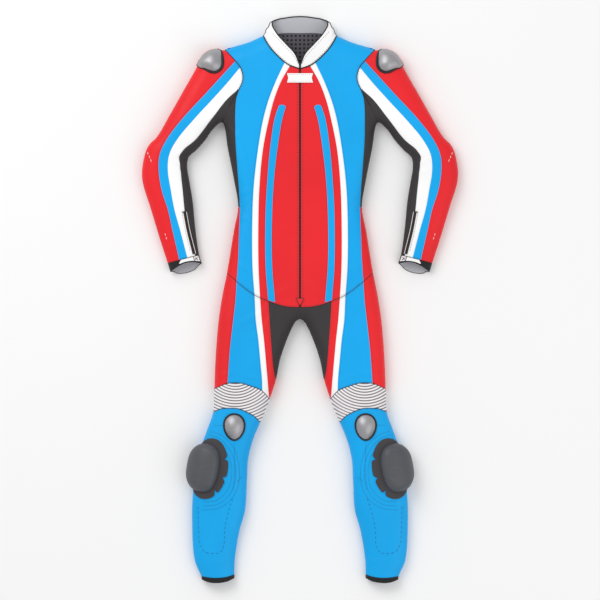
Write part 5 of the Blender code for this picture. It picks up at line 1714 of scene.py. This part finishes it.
@dataclass
class NeckPieces:
    """The stand-up collar with its edging, and the mesh lining that shows inside the back."""

    wall: float = 3.0
    clear: float = 0.7
    end_gap: float = 1.9
    rows: int = 12
    bulge: float = 7.4
    bulge_from: float = 58
    bulge_over: float = 20
    back_columns: int = 34
    base_rim: float = 1.5
    top_rim: float = 1.9
    end_rim: float = 1.2
    fold_rim: float = 1.3
    rim_low: float = 1.6
    dash_lift: float = 0.3
    dash_ends: tuple[float, float] = (5.0, 3.0)
    dash_pitch: float = 7.0
    dash_size: tuple[float, float] = (4.6, 0.55)
    lining_low: float = 2.3
    lining_thick: float = 1.0
    lining_wave: float = 0.6
    lining_edge: tuple = ((600, 45), (703, 82), (712, 72), (717, 58), (719.6, 36))
    back_base: tuple = ((92, 705, 5), (84, 708, 0), (66, 716, 0), (40, 719.5, 0), (0, 719.5, 0))
    top_front: tuple = ((1.5, 631, 5), (14, 662, 5), (38, 689, 2), (63, 718, -8))
    top_back: tuple = ((77, 748, 25.4), (60, 757, 5), (40, 760, 0), (20, 763, 0), (0, LENGTH_TOP, 0))

    def build(self) -> None:
        """Dresses the collar and the lining."""
        neck = Line(NECK_SEAM)
        tapes = np.linspace(neck.tape[-1] - self.end_gap, 0, 60)
        seam, _ = lay(neck.at(tapes))
        seam[:, :2] -= neck.outward(tapes) * self.clear
        base = np.concatenate([seam, smooth(self.back_base, 8)])
        front_high = float(height_at(WHITE_TOP_OUTER[1], False))
        front = np.array(self.top_front, float) + (0, 0, front_high)
        edge = smooth(np.concatenate([front, np.array(self.top_back, float)]), 16)
        top = read_at(shares_along(base), shares_along(edge), edge)
        rise = np.linspace(0, 1, self.rows)[:, None, None]
        half = base[None] + (top - base)[None] * rise
        side = np.clip((half[..., 0] - self.bulge_from) / self.bulge_over, 0, 1)
        half[..., 0] += self.bulge * np.sin(math.pi * rise[..., 0] ** 2) * side
        outer = np.concatenate([half, np.flip(half[:, :-1], 1) * (-1, 1, 1)], axis=1)
        normals = np.cross(np.gradient(outer, axis=1), np.gradient(outer, axis=0))
        normals /= np.maximum(length_of(normals)[..., None], 1e-9)
        inner = outer - normals * self.wall
        middle = outer.shape[1] // 2
        back = slice(middle - self.back_columns, middle + self.back_columns + 1)
        inner[:, back, 2] = np.maximum(inner[:, back, 2], self.wall)
        shape = shell(outer, inner, lined=True).turned_out()
        collar = add_piece("collar", shape, [WHITE_LEATHER, GREY_LINING], ["collar"])
        rims = [self.rim(outer[0] + (0, 0, 0.6), self.base_rim)]
        rims.append(self.rim(0.5 * (outer[-1] + inner[-1]) + (0, 0, 0.5), self.top_rim))
        for column in (0, -1):
            rims.append(self.rim(outer[:, column] + (0, 0, 0.3), self.end_rim))
        for fold in (outer[..., 0].argmax(1), outer[..., 0].argmin(1)):
            rims.append(self.rim(outer[np.arange(self.rows), fold], self.fold_rim))
        self.dashes(outer, normals, middle - self.back_columns)
        edging = add_piece("collar_edging", combined(rims), [BLACK_EDGING])
        self.lining()

    def rim(self, path: Array, radius: float) -> Shape:
        """Edging along a path, kept off the floor."""
        return tube(np.maximum(path, (-np.inf, -np.inf, self.rim_low)), radius)

    def dashes(self, outer: Array, normals: Array, last: int) -> None:
        """Dark thread along both edges of the collar's front.

        Args:
            outer: the collar's grid.
            normals: its normals.
            last: how many columns the front has on each side.
        """
        threads = []
        for row in (1, self.rows - 3):
            for columns in (slice(2, last), slice(-3, -last, -1)):
                path = outer[row, columns]
                tape = tape_of(path)
                spots = np.arange(self.dash_ends[0], tape[-1] - self.dash_ends[1], self.dash_pitch)
                centres, up = (read_at(spots, tape, grid) for grid in (path, normals[row, columns]))
                run, up = unit(np.gradient(centres, axis=0)), unit(up)
                threads.append(stitches(centres + up * self.dash_lift, run, up, *self.dash_size))
        add_piece("collar_stitches", combined(threads), [DARK_THREAD])

    def lining(self) -> None:
        """The mesh: rows of a width that follows the neck opening, wider towards the collar."""
        table = np.array(self.lining_edge, float)
        ups = np.linspace(table[0, 0], table[-1, 0], 40)
        half = np.interp(ups, table[:, 0], table[:, 1])
        out = half[:, None] * np.linspace(-1, 1, 40)[None]
        flat = np.stack([out, np.broadcast_to(ups[:, None], out.shape)], axis=-1)
        wave = 0.5 + 0.5 * np.sin(flat[..., 0] / 11 + 1.2 * np.sin(flat[..., 1] / 23))
        high = self.lining_low + self.lining_thick + self.lining_wave * wave
        top = np.concatenate([flat, high[..., None]], axis=-1)
        low = np.concatenate([flat, np.full_like(high, self.lining_low)[..., None]], axis=-1)
        piece = add_piece("neck_lining", shell(top, low).turned_out(), [NECK_MESH], ["neck_lining"])


def floor_points(line: Line, marks: Sequence[Sequence[float]], steps: int) -> Array:
    """Where a turned-under side meets the surface, at even steps between marks on its outline.

    Args:
        line: the outline.
        marks: points on it.
        steps: how many between two.

    Returns:
        The plan points.
    """
    tapes = [line.place(point) for point in marks]
    tape = np.concatenate([np.linspace(a, b, steps, endpoint=False) for a, b in zip(tapes, tapes[1:])]
                          + [[tapes[-1]]])
    return line.at(tape) - line.outward(tape) * FLOOR_ROLL


def even_along(points: Array, count: int) -> Array:
    """A path's points, respaced evenly."""
    points = np.asarray(points, float)
    return read_at(np.linspace(0, 1, count), shares_along(points), points)


@dataclass
class BackPieces:
    """The leather that lies on the surface: the back, the seat, the calves and the sleeves' backs."""

    low: float = 0.15
    thick: float = 1.5
    dip_share: float = 0.7
    step: float = 9.0
    back_count: int = 120
    seat_count: int = 80
    limb_count: int = 90
    neck_edge: tuple = ((40, 718.5), (66, 714.5), (84, 705))
    armhole: tuple = ((168, 606), (174, 545))
    seat_middle: tuple = ((0.3, 72), (0.3, -31))
    fork: tuple = ((13, -35), (33, -53))

    def sheet(self, left: Array, right: Array) -> tuple[Shape, Array]:
        """A flat sheet ruled between two paths of like count, a little fuller between its seams.

        Args:
            left: one path.
            right: the other.

        Returns:
            The shape and its lower grid.
        """
        width = length_of(right - left)
        places = spaced(width, SEAMED, SEAMED, max(4, int(width.max() / self.step)))
        flat = left[:, None] + (right - left)[:, None] * (places / width[:, None])[..., None]
        dip = seam_dip(np.minimum(places, places[:, -1:] - places)) * self.dip_share
        low = np.concatenate([flat, (self.low + dip)[..., None]], axis=-1)
        high = np.concatenate([flat, np.full(places.shape + (1,), self.low + self.thick)], axis=-1)
        return shell(low, high), low

    def build(self) -> None:
        """Dresses the four kinds of back piece."""
        ends = (floor_points(TOP_OUTLINE, (SHOULDER_POINT, (226, 673)), 1)[0],
                floor_points(SIDE_OUTLINE, (ARMPIT, (194, 404)), 1)[0])
        armhole = Line((ends[0], *self.armhole, ends[1])).points[2:-2]
        self.back(armhole)
        self.seat()
        marks = (KNEE_TOP_OUTER, (273, -419), (291, -595), HEM_TOP_OUTER)
        inner = floor_points(LEG_OUTLINE, (HEM_TOP_INNER, (143, -487), (127, -379), KNEE_TOP_INNER), 4)
        self.limb("calf", BLUE_LEATHER, np.flip(inner, 0), floor_points(SIDE_OUTLINE, marks, 4))
        marks = (SHOULDER_POINT, (266, 649), (352, 497), ELBOW_OUTER, CUFF_OUTER)
        inner = np.concatenate([armhole, floor_points(SIDE_OUTLINE, (ARMPIT, ELBOW_INNER, CUFF_INNER), 5)])
        self.limb("sleeve_back", RED_LEATHER, inner, floor_points(TOP_OUTLINE, marks, 4))

    def back(self, armhole: Array) -> None:
        """One sheet from the neck to the waist, between its left edge and that edge mirrored.

        Args:
            armhole: the armhole's part of the edge.
        """
        shoulder = floor_points(TOP_OUTLINE, ((139, 694), SHOULDER_POINT), 3)
        side = floor_points(SIDE_OUTLINE, ((194, 404), SIDE_TIP, WAIST_SIDE), 4)
        edge = even_along(np.concatenate([self.neck_edge, shoulder[:-1], armhole, side]), self.back_count)
        shape, low = self.sheet(edge * (-1, 1), edge)
        piece = add_piece("back_body", shape.turned_out(), [BLUE_LEATHER], ["back_body"])

    def seat(self) -> None:
        """Two halves in place of one node, each from its middle and the fork to the side outline."""
        outer = floor_points(SIDE_OUTLINE, (WAIST_SIDE, (220, -60), KNEE_TOP_OUTER), 4)
        middle = np.array(self.seat_middle, float)
        inside = np.flip(floor_points(LEG_OUTLINE, (KNEE_TOP_INNER, (54, -163), (30, -87)), 4), 0)
        bridge = smooth((middle[-1], *self.fork, inside[0]), 6)
        inner = np.concatenate([even_along(middle, 8)[:-1], bridge[:-1], inside])
        shape, low = self.sheet(even_along(inner, self.seat_count), even_along(outer, self.seat_count))
        halves = [add_piece("seat_half" + side.tag, shape.mirrored(side), [BLUE_LEATHER], ["seat"])
                  for side in Side]

    def limb(self, name: str, finish: Finish, inner: Array, outer: Array) -> None:
        """A pair of sheets on the underside of a limb.

        Args:
            name: their name.
            finish: their finish.
            inner: their inner edge.
            outer: their outer edge.
        """
        shape, low = self.sheet(even_along(inner, self.limb_count), even_along(outer, self.limb_count))
        for piece in both_sides(name, shape, [finish]):
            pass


def egg(centre: Sequence[float], half: Sequence[float], count: int, widen: float = 0.0,
        power: float = 2.0) -> Array:
    """A closed outline: a superellipse of the given power, wider at its upper end by the share widen.

    Args:
        centre: its middle.
        half: half its width and height.
        count: points.
        widen: the share.
        power: 2 for an ellipse.

    Returns:
        The points.
    """
    angle = np.linspace(0, 2 * math.pi, count, endpoint=False)
    c, s = np.cos(angle), np.sin(angle)
    size = (np.abs(c) ** power + np.abs(s) ** power) ** (-1 / power)
    return np.array(centre) + np.stack([c * size * half[0] * (1 + widen * s), s * size * half[1]], axis=1)


def dome(place: Placer, centre: Array, outline: Array,
         scales: Sequence[float], heights: Sequence[float], low: float) -> Shape:
    """A closed lens: rings of the outline shrunk towards its centre, each at its height over the skin.

    Args:
        place: puts spots at a height over the skin.
        centre: the outline's middle.
        outline: its points.
        scales: the rings' sizes, from the middle to the edge.
        heights: the rings' heights.
        low: the height of the underside.

    Returns:
        The shape, closed by a flat fan in the middle of each face.
    """
    rings = centre + (outline - centre)[None] * np.array(scales)[:, None, None]
    top, _ = place(rings, np.broadcast_to(np.array(heights)[:, None], rings.shape[:2]))
    bottom, _ = place(rings, np.full(rings.shape[:2], low))
    return rod(np.concatenate([top, np.flip(bottom, 0)])).turned_out()


def on_skin(arm: bool) -> Placer:
    """A placing function for plan points."""
    return lambda spots, lift: lay(spots, lift, arm)


def rim_band(place: Placer, centre: Array, outline: Array, inner: Array, outer: Array, low: float,
             high: float) -> Shape:
    """A raised band along an outline: a half round over its width, closed underneath.

    Args:
        place: puts spots over the skin.
        centre: the outline's middle.
        outline: its points.
        inner: where the band starts, outward.
        outer: where it ends.
        low: its foot.
        high: its top.

    Returns:
        The shape.
    """
    angle = np.linspace(0, math.pi, 7)
    share = 0.5 - 0.5 * np.cos(angle)
    width = inner[:, None] + (outer - inner)[:, None] * share[None]
    run = unit(outline - centre)
    spots = outline[:, None] + run[:, None] * width[..., None]
    lift = low + (high - low) * np.sin(angle)[None]
    top, _ = place(spots, np.broadcast_to(lift, spots.shape[:2]))
    under, _ = place(spots[:, 1:-1], np.full(spots[:, 1:-1].shape[:2], low - 0.4))
    return torus(np.concatenate([top, np.flip(under, 1)], axis=1)).turned_out()


@dataclass
class Armour:
    """The metal cups at shoulder and knee, and the knee sliders on their pads."""

    lift: float = 0.8
    cup_wall: float = 2.5
    power: float = 2.2
    spokes: int = 64
    knee_centre: tuple[float, float] = (177, -343)
    knee_half: tuple[float, float] = (26, 33.5)
    knee_rise: float = 13.0
    knee_rim: float = 4.0
    shoulder_rim: tuple[float, float] = (1.8, 5.2)
    shoulder_centre: tuple[float, float] = (243, 645)
    shoulder_outline: tuple = ((276, 631), (262, 656), (249, 667), (236, 672.5), (222, 673), (213, 668),
                               (211, 648), (212, 630), (219, 620), (230, 615), (242, 617), (256, 622),
                               (268, 624))
    shoulder_rise: float = 13.0
    slider_at: tuple[float, float] = (281, -448)
    slider_inset: float = 33.0
    slider_half: tuple[float, float] = (68, 41)
    slider_rise: float = 25.0
    pad_inset: float = 45.0
    pad_half: tuple[float, float] = (87, 54)
    pad_lift: float = 1.3
    pad_thick: float = 3.0
    notches: tuple[float, ...] = (0.62, 1.3, 2.1)
    notch_wide: float = 0.06
    notch_deep: float = 0.17

    def build(self) -> None:
        """Dresses the cups, pads and sliders."""
        knee = egg(self.knee_centre, self.knee_half, self.spokes, 0.16)
        rim = np.full(self.spokes, self.knee_rim)
        self.cup("knee_cup", knee, np.array(self.knee_centre), self.knee_rise, False, rim)
        path = smooth(self.shoulder_outline + self.shoulder_outline[:1], 10)
        shoulder = even_along(path, self.spokes + 1)[:-1]
        centre = np.array(self.shoulder_centre)
        inward = np.clip(-unit(shoulder - centre).sum(1), 0, 1)
        rim = self.shoulder_rim[0] + self.shoulder_rim[1] * inward
        self.cup("shoulder_cup", shoulder, centre, self.shoulder_rise, True, rim)
        self.sliders()

    def cup(self, name: str, outline: Array, centre: Array, rise: float, arm: bool, rim: Array) -> None:
        """A pair of domed cups with black rims; height is rise x (1 - scale to a power).

        Args:
            name: the name.
            outline: the edge.
            centre: its middle.
            rise: the dome's height.
            arm: whether on a sleeve.
            rim: the rim's reach.
        """
        scales = np.array([0.04, 0.2, 0.36, 0.5, 0.62, 0.73, 0.82, 0.89, 0.95, 0.985, 1.0])
        heights = self.lift + self.cup_wall + rise * (1 - scales ** self.power)
        heights[-2:] -= (0.5, 1.2)
        shape = dome(on_skin(arm), centre, outline, scales, heights, self.lift)
        both_sides(name, shape, [SATIN_METAL])
        band = rim_band(on_skin(arm), centre, outline, np.full(len(outline), -0.8), rim, 0.3,
                        self.lift + self.cup_wall + 0.6)
        both_sides(name + "_rim", band, [RUBBER], replaces=False)

    def sliders(self) -> None:
        """The hook pads with their notches, and the pucks with a broad bevel."""
        at = SIDE_OUTLINE.place(self.slider_at)
        centre = np.array([at, self.slider_inset])
        pad_centre = np.array([at, self.pad_inset])
        outline = egg(pad_centre, self.pad_half, self.spokes * 3)
        angle = np.linspace(0, 2 * math.pi, self.spokes * 3, endpoint=False)
        bite = sum(np.exp(-((angle - notch) / self.notch_wide) ** 2) for notch in self.notches)
        outline = pad_centre + (outline - pad_centre) * (1 - self.notch_deep * bite)[:, None]
        scales = (0.04, 0.3, 0.55, 0.72, 0.84, 0.93, 0.975, 1.0)
        top = self.pad_lift + self.pad_thick
        heights = np.array([top] * 5 + [top - 0.1, top - 0.5, top - 1.4])
        shape = dome(around, pad_centre, outline, scales, heights, self.pad_lift)
        for piece in both_sides("slider_pad", shape, [PAD_PLASTIC]):
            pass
        puck = egg(centre, self.slider_half, self.spokes, 0.06, 2.35)
        scales = (0.04, 0.25, 0.45, 0.6, 0.7, 0.76, 0.8, 0.86, 0.92, 0.955, 0.98, 1.0)
        shares = (1, 0.99, 0.97, 0.94, 0.91, 0.875, 0.82, 0.7, 0.55, 0.42, 0.3, 0.1)
        low = top + 0.3
        heights = low + self.slider_rise * np.array(shares)
        both_sides("slider", dome(around, centre, puck, scales, heights, low), [PUCK_PLASTIC])


def strip(path: Line, half: float, count: int, arm: bool, low: float, high: float,
          edge: float = 0.4) -> tuple[Shape, Array]:
    """A strip of constant width along a line, with its edges eased down.

    Args:
        path: its middle line.
        half: half its width.
        count: rows along it.
        arm: whether it is on a sleeve.
        low: height of its underside over the skin.
        high: height of its face.
        edge: how far its edges are eased down.

    Returns:
        The shape and its upper grid.
    """
    tape = np.linspace(0, path.tape[-1], count)
    across = np.array([-1, -0.8, -0.5, 0, 0.5, 0.8, 1]) * half
    plan = path.at(tape)[:, None] + path.outward(tape)[:, None] * across[None, :, None]
    ease = edge * np.abs(across / half) ** 4
    top, _ = lay(plan, (high - ease)[None], arm)
    bottom, _ = lay(plan, low, arm)
    return shell(top, bottom).turned_out(), top


def stitches(centres: Array, along: Array, up: Array, length: float, radius: float) -> Shape:
    """Short threads: a square spindle of three stations, thin at its ends, at each centre.

    Args:
        centres: the stitches' middles.
        along: their unit directions.
        up: unit normals of what they lie on.
        length: a stitch's length.
        radius: its radius in the middle.

    Returns:
        All the stitches as one shape.
    """
    across = unit(np.cross(along, up))
    spots = np.array([-0.5, 0.0, 0.5]) * length
    sizes = np.array([0.45, 1.0, 0.45]) * radius
    sink = np.array([-0.5, 0.0, -0.5]) * radius
    turn = np.linspace(0, 2 * math.pi, 4, endpoint=False) + 0.25 * math.pi
    ring = (across[:, None, None] * np.cos(turn)[None, None, :, None]
            + up[:, None, None] * np.sin(turn)[None, None, :, None]) * sizes[None, :, None, None]
    middle = centres[:, None] + along[:, None] * spots[None, :, None] + up[:, None] * sink[None, :, None]
    verts = (middle[:, :, None] + ring).reshape(-1, 3)
    index = np.arange(12).reshape(3, 4)
    side = np.roll(index, -1, axis=1)
    faces = np.stack([index[:-1], side[:-1], side[1:], index[1:]], axis=-1).reshape(-1, 4)
    faces = np.concatenate([faces, [index[0, ::-1]], [index[2]]])
    every = (faces[None] + 12 * np.arange(len(centres))[:, None, None]).reshape(-1, 4)
    return Shape(verts, [every]).turned_out()


@dataclass(frozen=True)
class StitchRow:
    """A row of stitches beside a line in plan."""

    points: Points
    offset: float = 0.0
    arm: bool = False
    pitch: float = 4.2
    length: float = 3.2
    radius: float = 0.45
    lift: float = 0.1

    def shape(self) -> Shape:
        """The row's threads on the skin.

        Returns:
            The shape.
        """
        line = Line(self.points)
        tape = np.arange(self.pitch, line.tape[-1] - 0.5 * self.pitch, self.pitch)
        outward = line.outward(tape)
        centres, normals = lay(line.at(tape) + outward * self.offset, self.lift, self.arm)
        run = np.stack([outward[:, 1], -outward[:, 0], np.zeros(len(tape))], axis=1)
        return stitches(centres, laid_flat(run, normals), normals, self.length, self.radius)


def both_rows(points: Points, gap: float = 3.4) -> tuple[StitchRow, ...]:
    """A row on each side of a seam."""
    return tuple(StitchRow(points, offset) for offset in (gap, -gap))


@dataclass
class Sewing:
    """Thread on the panels, and the dark piping let into the main seams."""

    piping: float = 1.3
    fine_piping: float = 0.75
    zip_line: tuple = ((311, 237), (302, 188), (288, 130))
    shin_box: tuple = ((275, -548), (273, -627), (270, -656), (259, -677), (248, -682), (219, -682),
                       (207, -669), (202, -614), (191, -565), (180, -531))
    pad_arcs: tuple = (((253, -372), (222, -384), (196, -414), (184, -450), (186, -490), (200, -520),
                        (226, -541), (262, -545)),
                       ((250, -362), (216, -374), (186, -408), (174, -450), (176, -494), (192, -528),
                        (222, -551), (264, -556)),
                       ((246, -352), (210, -366), (177, -402), (164, -450), (166, -498), (184, -536),
                        (218, -561), (266, -567)))
    knee_seams: tuple = (((178, -384), (175.5, -448), (179.5, -511)), ((154, -476), (171, -492)),
                         ((208, -339), (231, -339)))
    elbow_dashes: tuple = ((414, 404), (406, 386), (397, 364))
    forearm_dashes: tuple = ((366, 186), (362, 172), (357, 156))
    centre_dashes: tuple = ((7.8, 604), (7.8, 300), (7.8, -12))

    def build(self) -> None:
        """Adds every row, by thread, and the piping."""
        arcs = (*self.knee_seams, *self.pad_arcs)
        rows = {
            "stitch_blue": (BLUE_THREAD, (
                *both_rows(KNEE_LOW_SEAM[1:-1]), StitchRow(WHITE_OUTER[1:], 3.2),
                StitchRow(self.shin_box, pitch=13.0, length=8.6, radius=1.0),
                *(StitchRow(points, radius=0.7, pitch=4.0, length=3.6) for points in arcs))),
            "stitch_red": (RED_THREAD, (
                StitchRow(STRIPE_OUTER, 3.0), StitchRow(STRIPE_INNER, -3.0),
                StitchRow(RED_BLUE, 3.2, True), StitchRow(CROTCH_SEAM, 3.2))),
            "stitch_white": (WHITE_THREAD, (
                StitchRow(self.elbow_dashes, arm=True, pitch=10.5, length=7.4, radius=1.1),
                StitchRow(self.forearm_dashes, arm=True, pitch=10.5, length=6.8, radius=1.0))),
            "stitch_grey": (GREY_THREAD, (
                StitchRow(self.zip_line, 7.4, arm=True, pitch=4.4, length=3.4, radius=0.8),)),
            "stitch_dark": (DARK_THREAD, (
                *both_rows(WAIST_SEAM[:-1], 3.6), StitchRow(KNEE_TOP_SEAM[1:-1], 3.4),
                *both_rows(ARMHOLE[1:-1], 3.4), StitchRow(BLUE_EDGE, 3.2),
                StitchRow(self.centre_dashes, pitch=8.0, length=5.2, radius=0.85))),
        }
        for name, (thread, kinds) in rows.items():
            both_sides(name, combined([row.shape() for row in kinds]), [thread], replaces=False)
        seams = (("piping_armhole", ARMHOLE[:-1], self.piping),
                 ("piping_knee_top", KNEE_TOP_SEAM, self.piping),
                 ("piping_knee_low", KNEE_LOW_SEAM, self.piping),
                 ("piping_waist", WAIST_SEAM, self.fine_piping))
        for name, points, half in seams:
            line = Line(points)
            shape, _ = strip(line, half, max(12, int(line.tape[-1] / 4)), False, -1.2, 0.0, 0.5)
            both_sides(name, shape, [BLACK_EDGING], replaces=False)


@dataclass
class Zips:
    """The front zip with its tab and end patch, and the forearm zips."""

    tab_centre: float = 597.0
    tab_half: tuple[float, float] = (35.0, 12.5)
    tab_lift: float = 1.6
    tab_wall: float = 2.0
    tab_notch: float = 0.1
    tab_arch: float = 1.2
    arch_wide: float = 9.0
    pitch: float = 2.6
    tooth: float = 0.75
    patch_half: float = 10.5
    patch_tip: float = 0.8
    patch_top: float = 3.0
    patch_tall: float = 17.5
    patch_edge: tuple = ((-11, 3.4), (0, 3.6), (11, 3.4), (0.6, -14.8), (-0.6, -14.8), (-11, 3.4))
    binding_out: float = 4.6
    binding: float = 0.9
    bar: float = 1.3
    bar_ends: tuple = ((304.5, 238.5), (318, 235.5))
    sleeve_line: tuple = ((311, 237), (302, 188), (286, 123))

    def build(self) -> None:
        """Dresses all of them."""
        self.front()
        self.tab()
        self.patch()
        self.sleeves()

    def teeth(self, line: Line, half: float, lift: float, arm: bool) -> Shape:
        """Rows of teeth that mesh: short spindles across the line, offset in turn to either side.

        Args:
            line: the zip's middle line.
            half: half its width.
            lift: how high the teeth lie over the skin.
            arm: whether it is on a sleeve.

        Returns:
            The shape.
        """
        tape = np.arange(2.0, line.tape[-1] - 2.0, self.pitch)
        sign = np.where(np.arange(len(tape)) % 2 == 0, 1.0, -1.0)[:, None]
        outward = line.outward(tape)
        centres, normals = lay(line.at(tape) + outward * sign * half * 0.3, lift, arm)
        run = laid_flat(np.concatenate([outward, np.zeros((len(tape), 1))], axis=1), normals)
        return stitches(centres, run, normals, half * 1.3, self.tooth)

    def front(self) -> None:
        """The tape in the gap between the centre panels, with its teeth."""
        line = straight((0, NECK_CENTRE[1] - 1), (0, WAIST_CENTRE[1] + 1))
        shape, grid = strip(line, ZIP_HALF, 160, False, -1.6, -0.5, 0.0)
        tape = add_piece("front_zip", shape, [ZIP_TAPE], ["front_zip"])
        rows = self.teeth(line, ZIP_HALF, 0.0, False)
        teeth = add_piece("front_zip_teeth", rows, [ZIP_METAL])

    def tab(self) -> None:
        """The ribbon under the collar: its ends are notched, and its middle arches over the zip."""
        half, tall = self.tab_half
        rows, columns = np.linspace(-1, 1, 13), np.linspace(-1, 1, 41)
        notch = 1 - self.tab_notch * (1 - np.abs(rows))[:, None]
        out = columns[None] * half * notch
        plan = np.stack([out, np.broadcast_to(self.tab_centre + tall * rows[:, None], out.shape)], axis=-1)
        edge = 0.5 * np.maximum(np.abs(rows)[:, None], np.abs(columns)[None]) ** 10
        face = self.tab_lift + self.tab_wall
        top, _ = lay(plan, face + self.arch(out) - edge)
        shape = shell(top, lay(plan, self.tab_lift)[0]).turned_out()
        piece = add_piece("neck_tab", shape, [WHITE_LEATHER], ["neck_tab"])
        threads = []
        for up in (-0.72, 0.72):
            tape = np.arange(-half + 5, half - 4, 5.6)
            spots = np.stack([tape, np.full(len(tape), self.tab_centre + up * tall)], axis=1)
            centres, normals = lay(spots, face + self.arch(tape))
            threads.append(stitches(centres, np.tile([1.0, 0, 0], (len(tape), 1)), normals, 3.8, 0.5))
        sewn = add_piece("neck_tab_stitches", combined(threads), [RED_THREAD])

    def arch(self, out: Array) -> Array:
        """The tab's rise over the zip: e to minus the square of the distance out."""
        return self.tab_arch * np.exp(-(out / self.arch_wide) ** 2)

    def patch(self) -> None:
        """The triangle over the zip's lower end: rows that narrow to its point, edged in dark thread."""
        rows = np.linspace(0, 1, 16)
        half = self.patch_half * (1 - rows) ** 0.9 + self.patch_tip
        out = half[:, None] * np.linspace(-1, 1, 15)[None]
        ups = np.broadcast_to((self.patch_top - self.patch_tall * rows)[:, None], out.shape)
        plan = np.stack([out, ups], axis=-1)
        top, _ = lay(plan, 2.6)
        shape = shell(top, lay(plan, 1.0)[0]).turned_out()
        piece = add_piece("zip_end_patch", shape, [RED_LEATHER], ["zip_end_patch"])
        border, _ = lay(even_along(self.patch_edge, 61)[:-1], 2.3)
        cord = add_piece("zip_end_border", tube(border, 0.8, closed=True), [DARK_THREAD])

    def sleeves(self) -> None:
        """The forearm zips: tape, teeth, pale binding on either side, and a puller bar at the top."""
        line = Line(self.sleeve_line)
        shape, grid = strip(line, 3.5, 40, True, 0.5, 1.8)
        tapes = both_sides("sleeve_zip", shape, [ZIP_TAPE])
        teeth = both_sides("sleeve_zip_teeth", self.teeth(line, 3.0, 2.0, True), [ZIP_METAL], replaces=False)
        bindings = []
        tape = np.linspace(0, line.tape[-1], 40)
        for sign in (-1, 1):
            path, _ = lay(line.at(tape) + line.outward(tape) * self.binding_out * sign, 0.8, True)
            bindings.append(tube(path, self.binding))
        binding = both_sides("sleeve_zip_binding", combined(bindings), [WHITE_THREAD], replaces=False)
        bar, _ = lay(even_along(self.bar_ends, 9), 2.2, True)
        puller = both_sides("sleeve_zip_bar", tube(bar, self.bar), [DARK_THREAD], replaces=False)


@dataclass
class Studio:
    """The pale floor, the soft lights and the camera that looks straight down."""

    floor_half: float = 30.0
    floor_drop: float = 0.001
    key: tuple = ((-2.2, 2.6, 3.6), 3.0, 91)
    fill: tuple = ((2.6, -1.8, 3.4), 4.0, 44)
    sky: float = 0.67
    frame_width: float = 1.62
    lens: float = 400.0
    sensor: float = 36.0
    far: float = 200.0
    centre_up: float = -0.0008

    def build(self) -> None:
        """Sets up the studio."""
        corners = ((-1, -1), (1, -1), (1, 1), (-1, 1))
        verts = [(x * self.floor_half, y * self.floor_half, -self.floor_drop) for x, y in corners]
        mesh = bpy.data.meshes.new("floor")
        mesh.from_pydata(verts, [], [(0, 1, 2, 3)])
        mesh.materials.append(material_of(FLOOR_PAPER))
        floor = bpy.data.objects.new("floor", mesh)
        bpy.context.scene.collection.objects.link(floor)
        self.light("key", *self.key)
        self.light("fill", *self.fill)
        world = bpy.data.worlds.new("studio")
        world.use_nodes = True
        sky = world.node_tree.nodes["Background"].inputs
        sky["Color"].default_value = (1, 1, 1, 1)
        sky["Strength"].default_value = self.sky
        bpy.context.scene.world = world
        bpy.context.scene.view_settings.view_transform = "Standard"
        data = bpy.data.cameras.new("camera")
        data.lens, data.sensor_width, data.clip_end = self.lens, self.sensor, self.far
        camera = bpy.data.objects.new("camera", data)
        camera.location = (0, self.centre_up, self.frame_width * self.lens / self.sensor)
        bpy.context.scene.collection.objects.link(camera)
        bpy.context.scene.camera = camera

    def light(self, name: str, place: tuple[float, float, float], size: float, power: float) -> None:
        """A square area light that faces the suit's middle.

        Args:
            name: its name.
            place: where it stands, in metres.
            size: its side.
            power: its power in watts.
        """
        data = bpy.data.lights.new(name, "AREA")
        data.size, data.energy = size, power
        lamp = bpy.data.objects.new(name, data)
        lamp.location = place
        x, y, z = place
        lamp.rotation_euler = (math.atan2(math.hypot(x, y), z), 0, math.atan2(x, -y))
        bpy.context.scene.collection.objects.link(lamp)


def main() -> None:
    """Builds every sub-assembly, then the studio."""
    logging.basicConfig(level=logging.INFO, format="%(message)s")
    parts = (TorsoPanels, SleevePanels, LegPanels, LimbEnds, NeckPieces, BackPieces, Armour, Zips, Sewing,
             Studio)
    for part in parts:
        part().build()


if __name__ == "__main__":
    main()
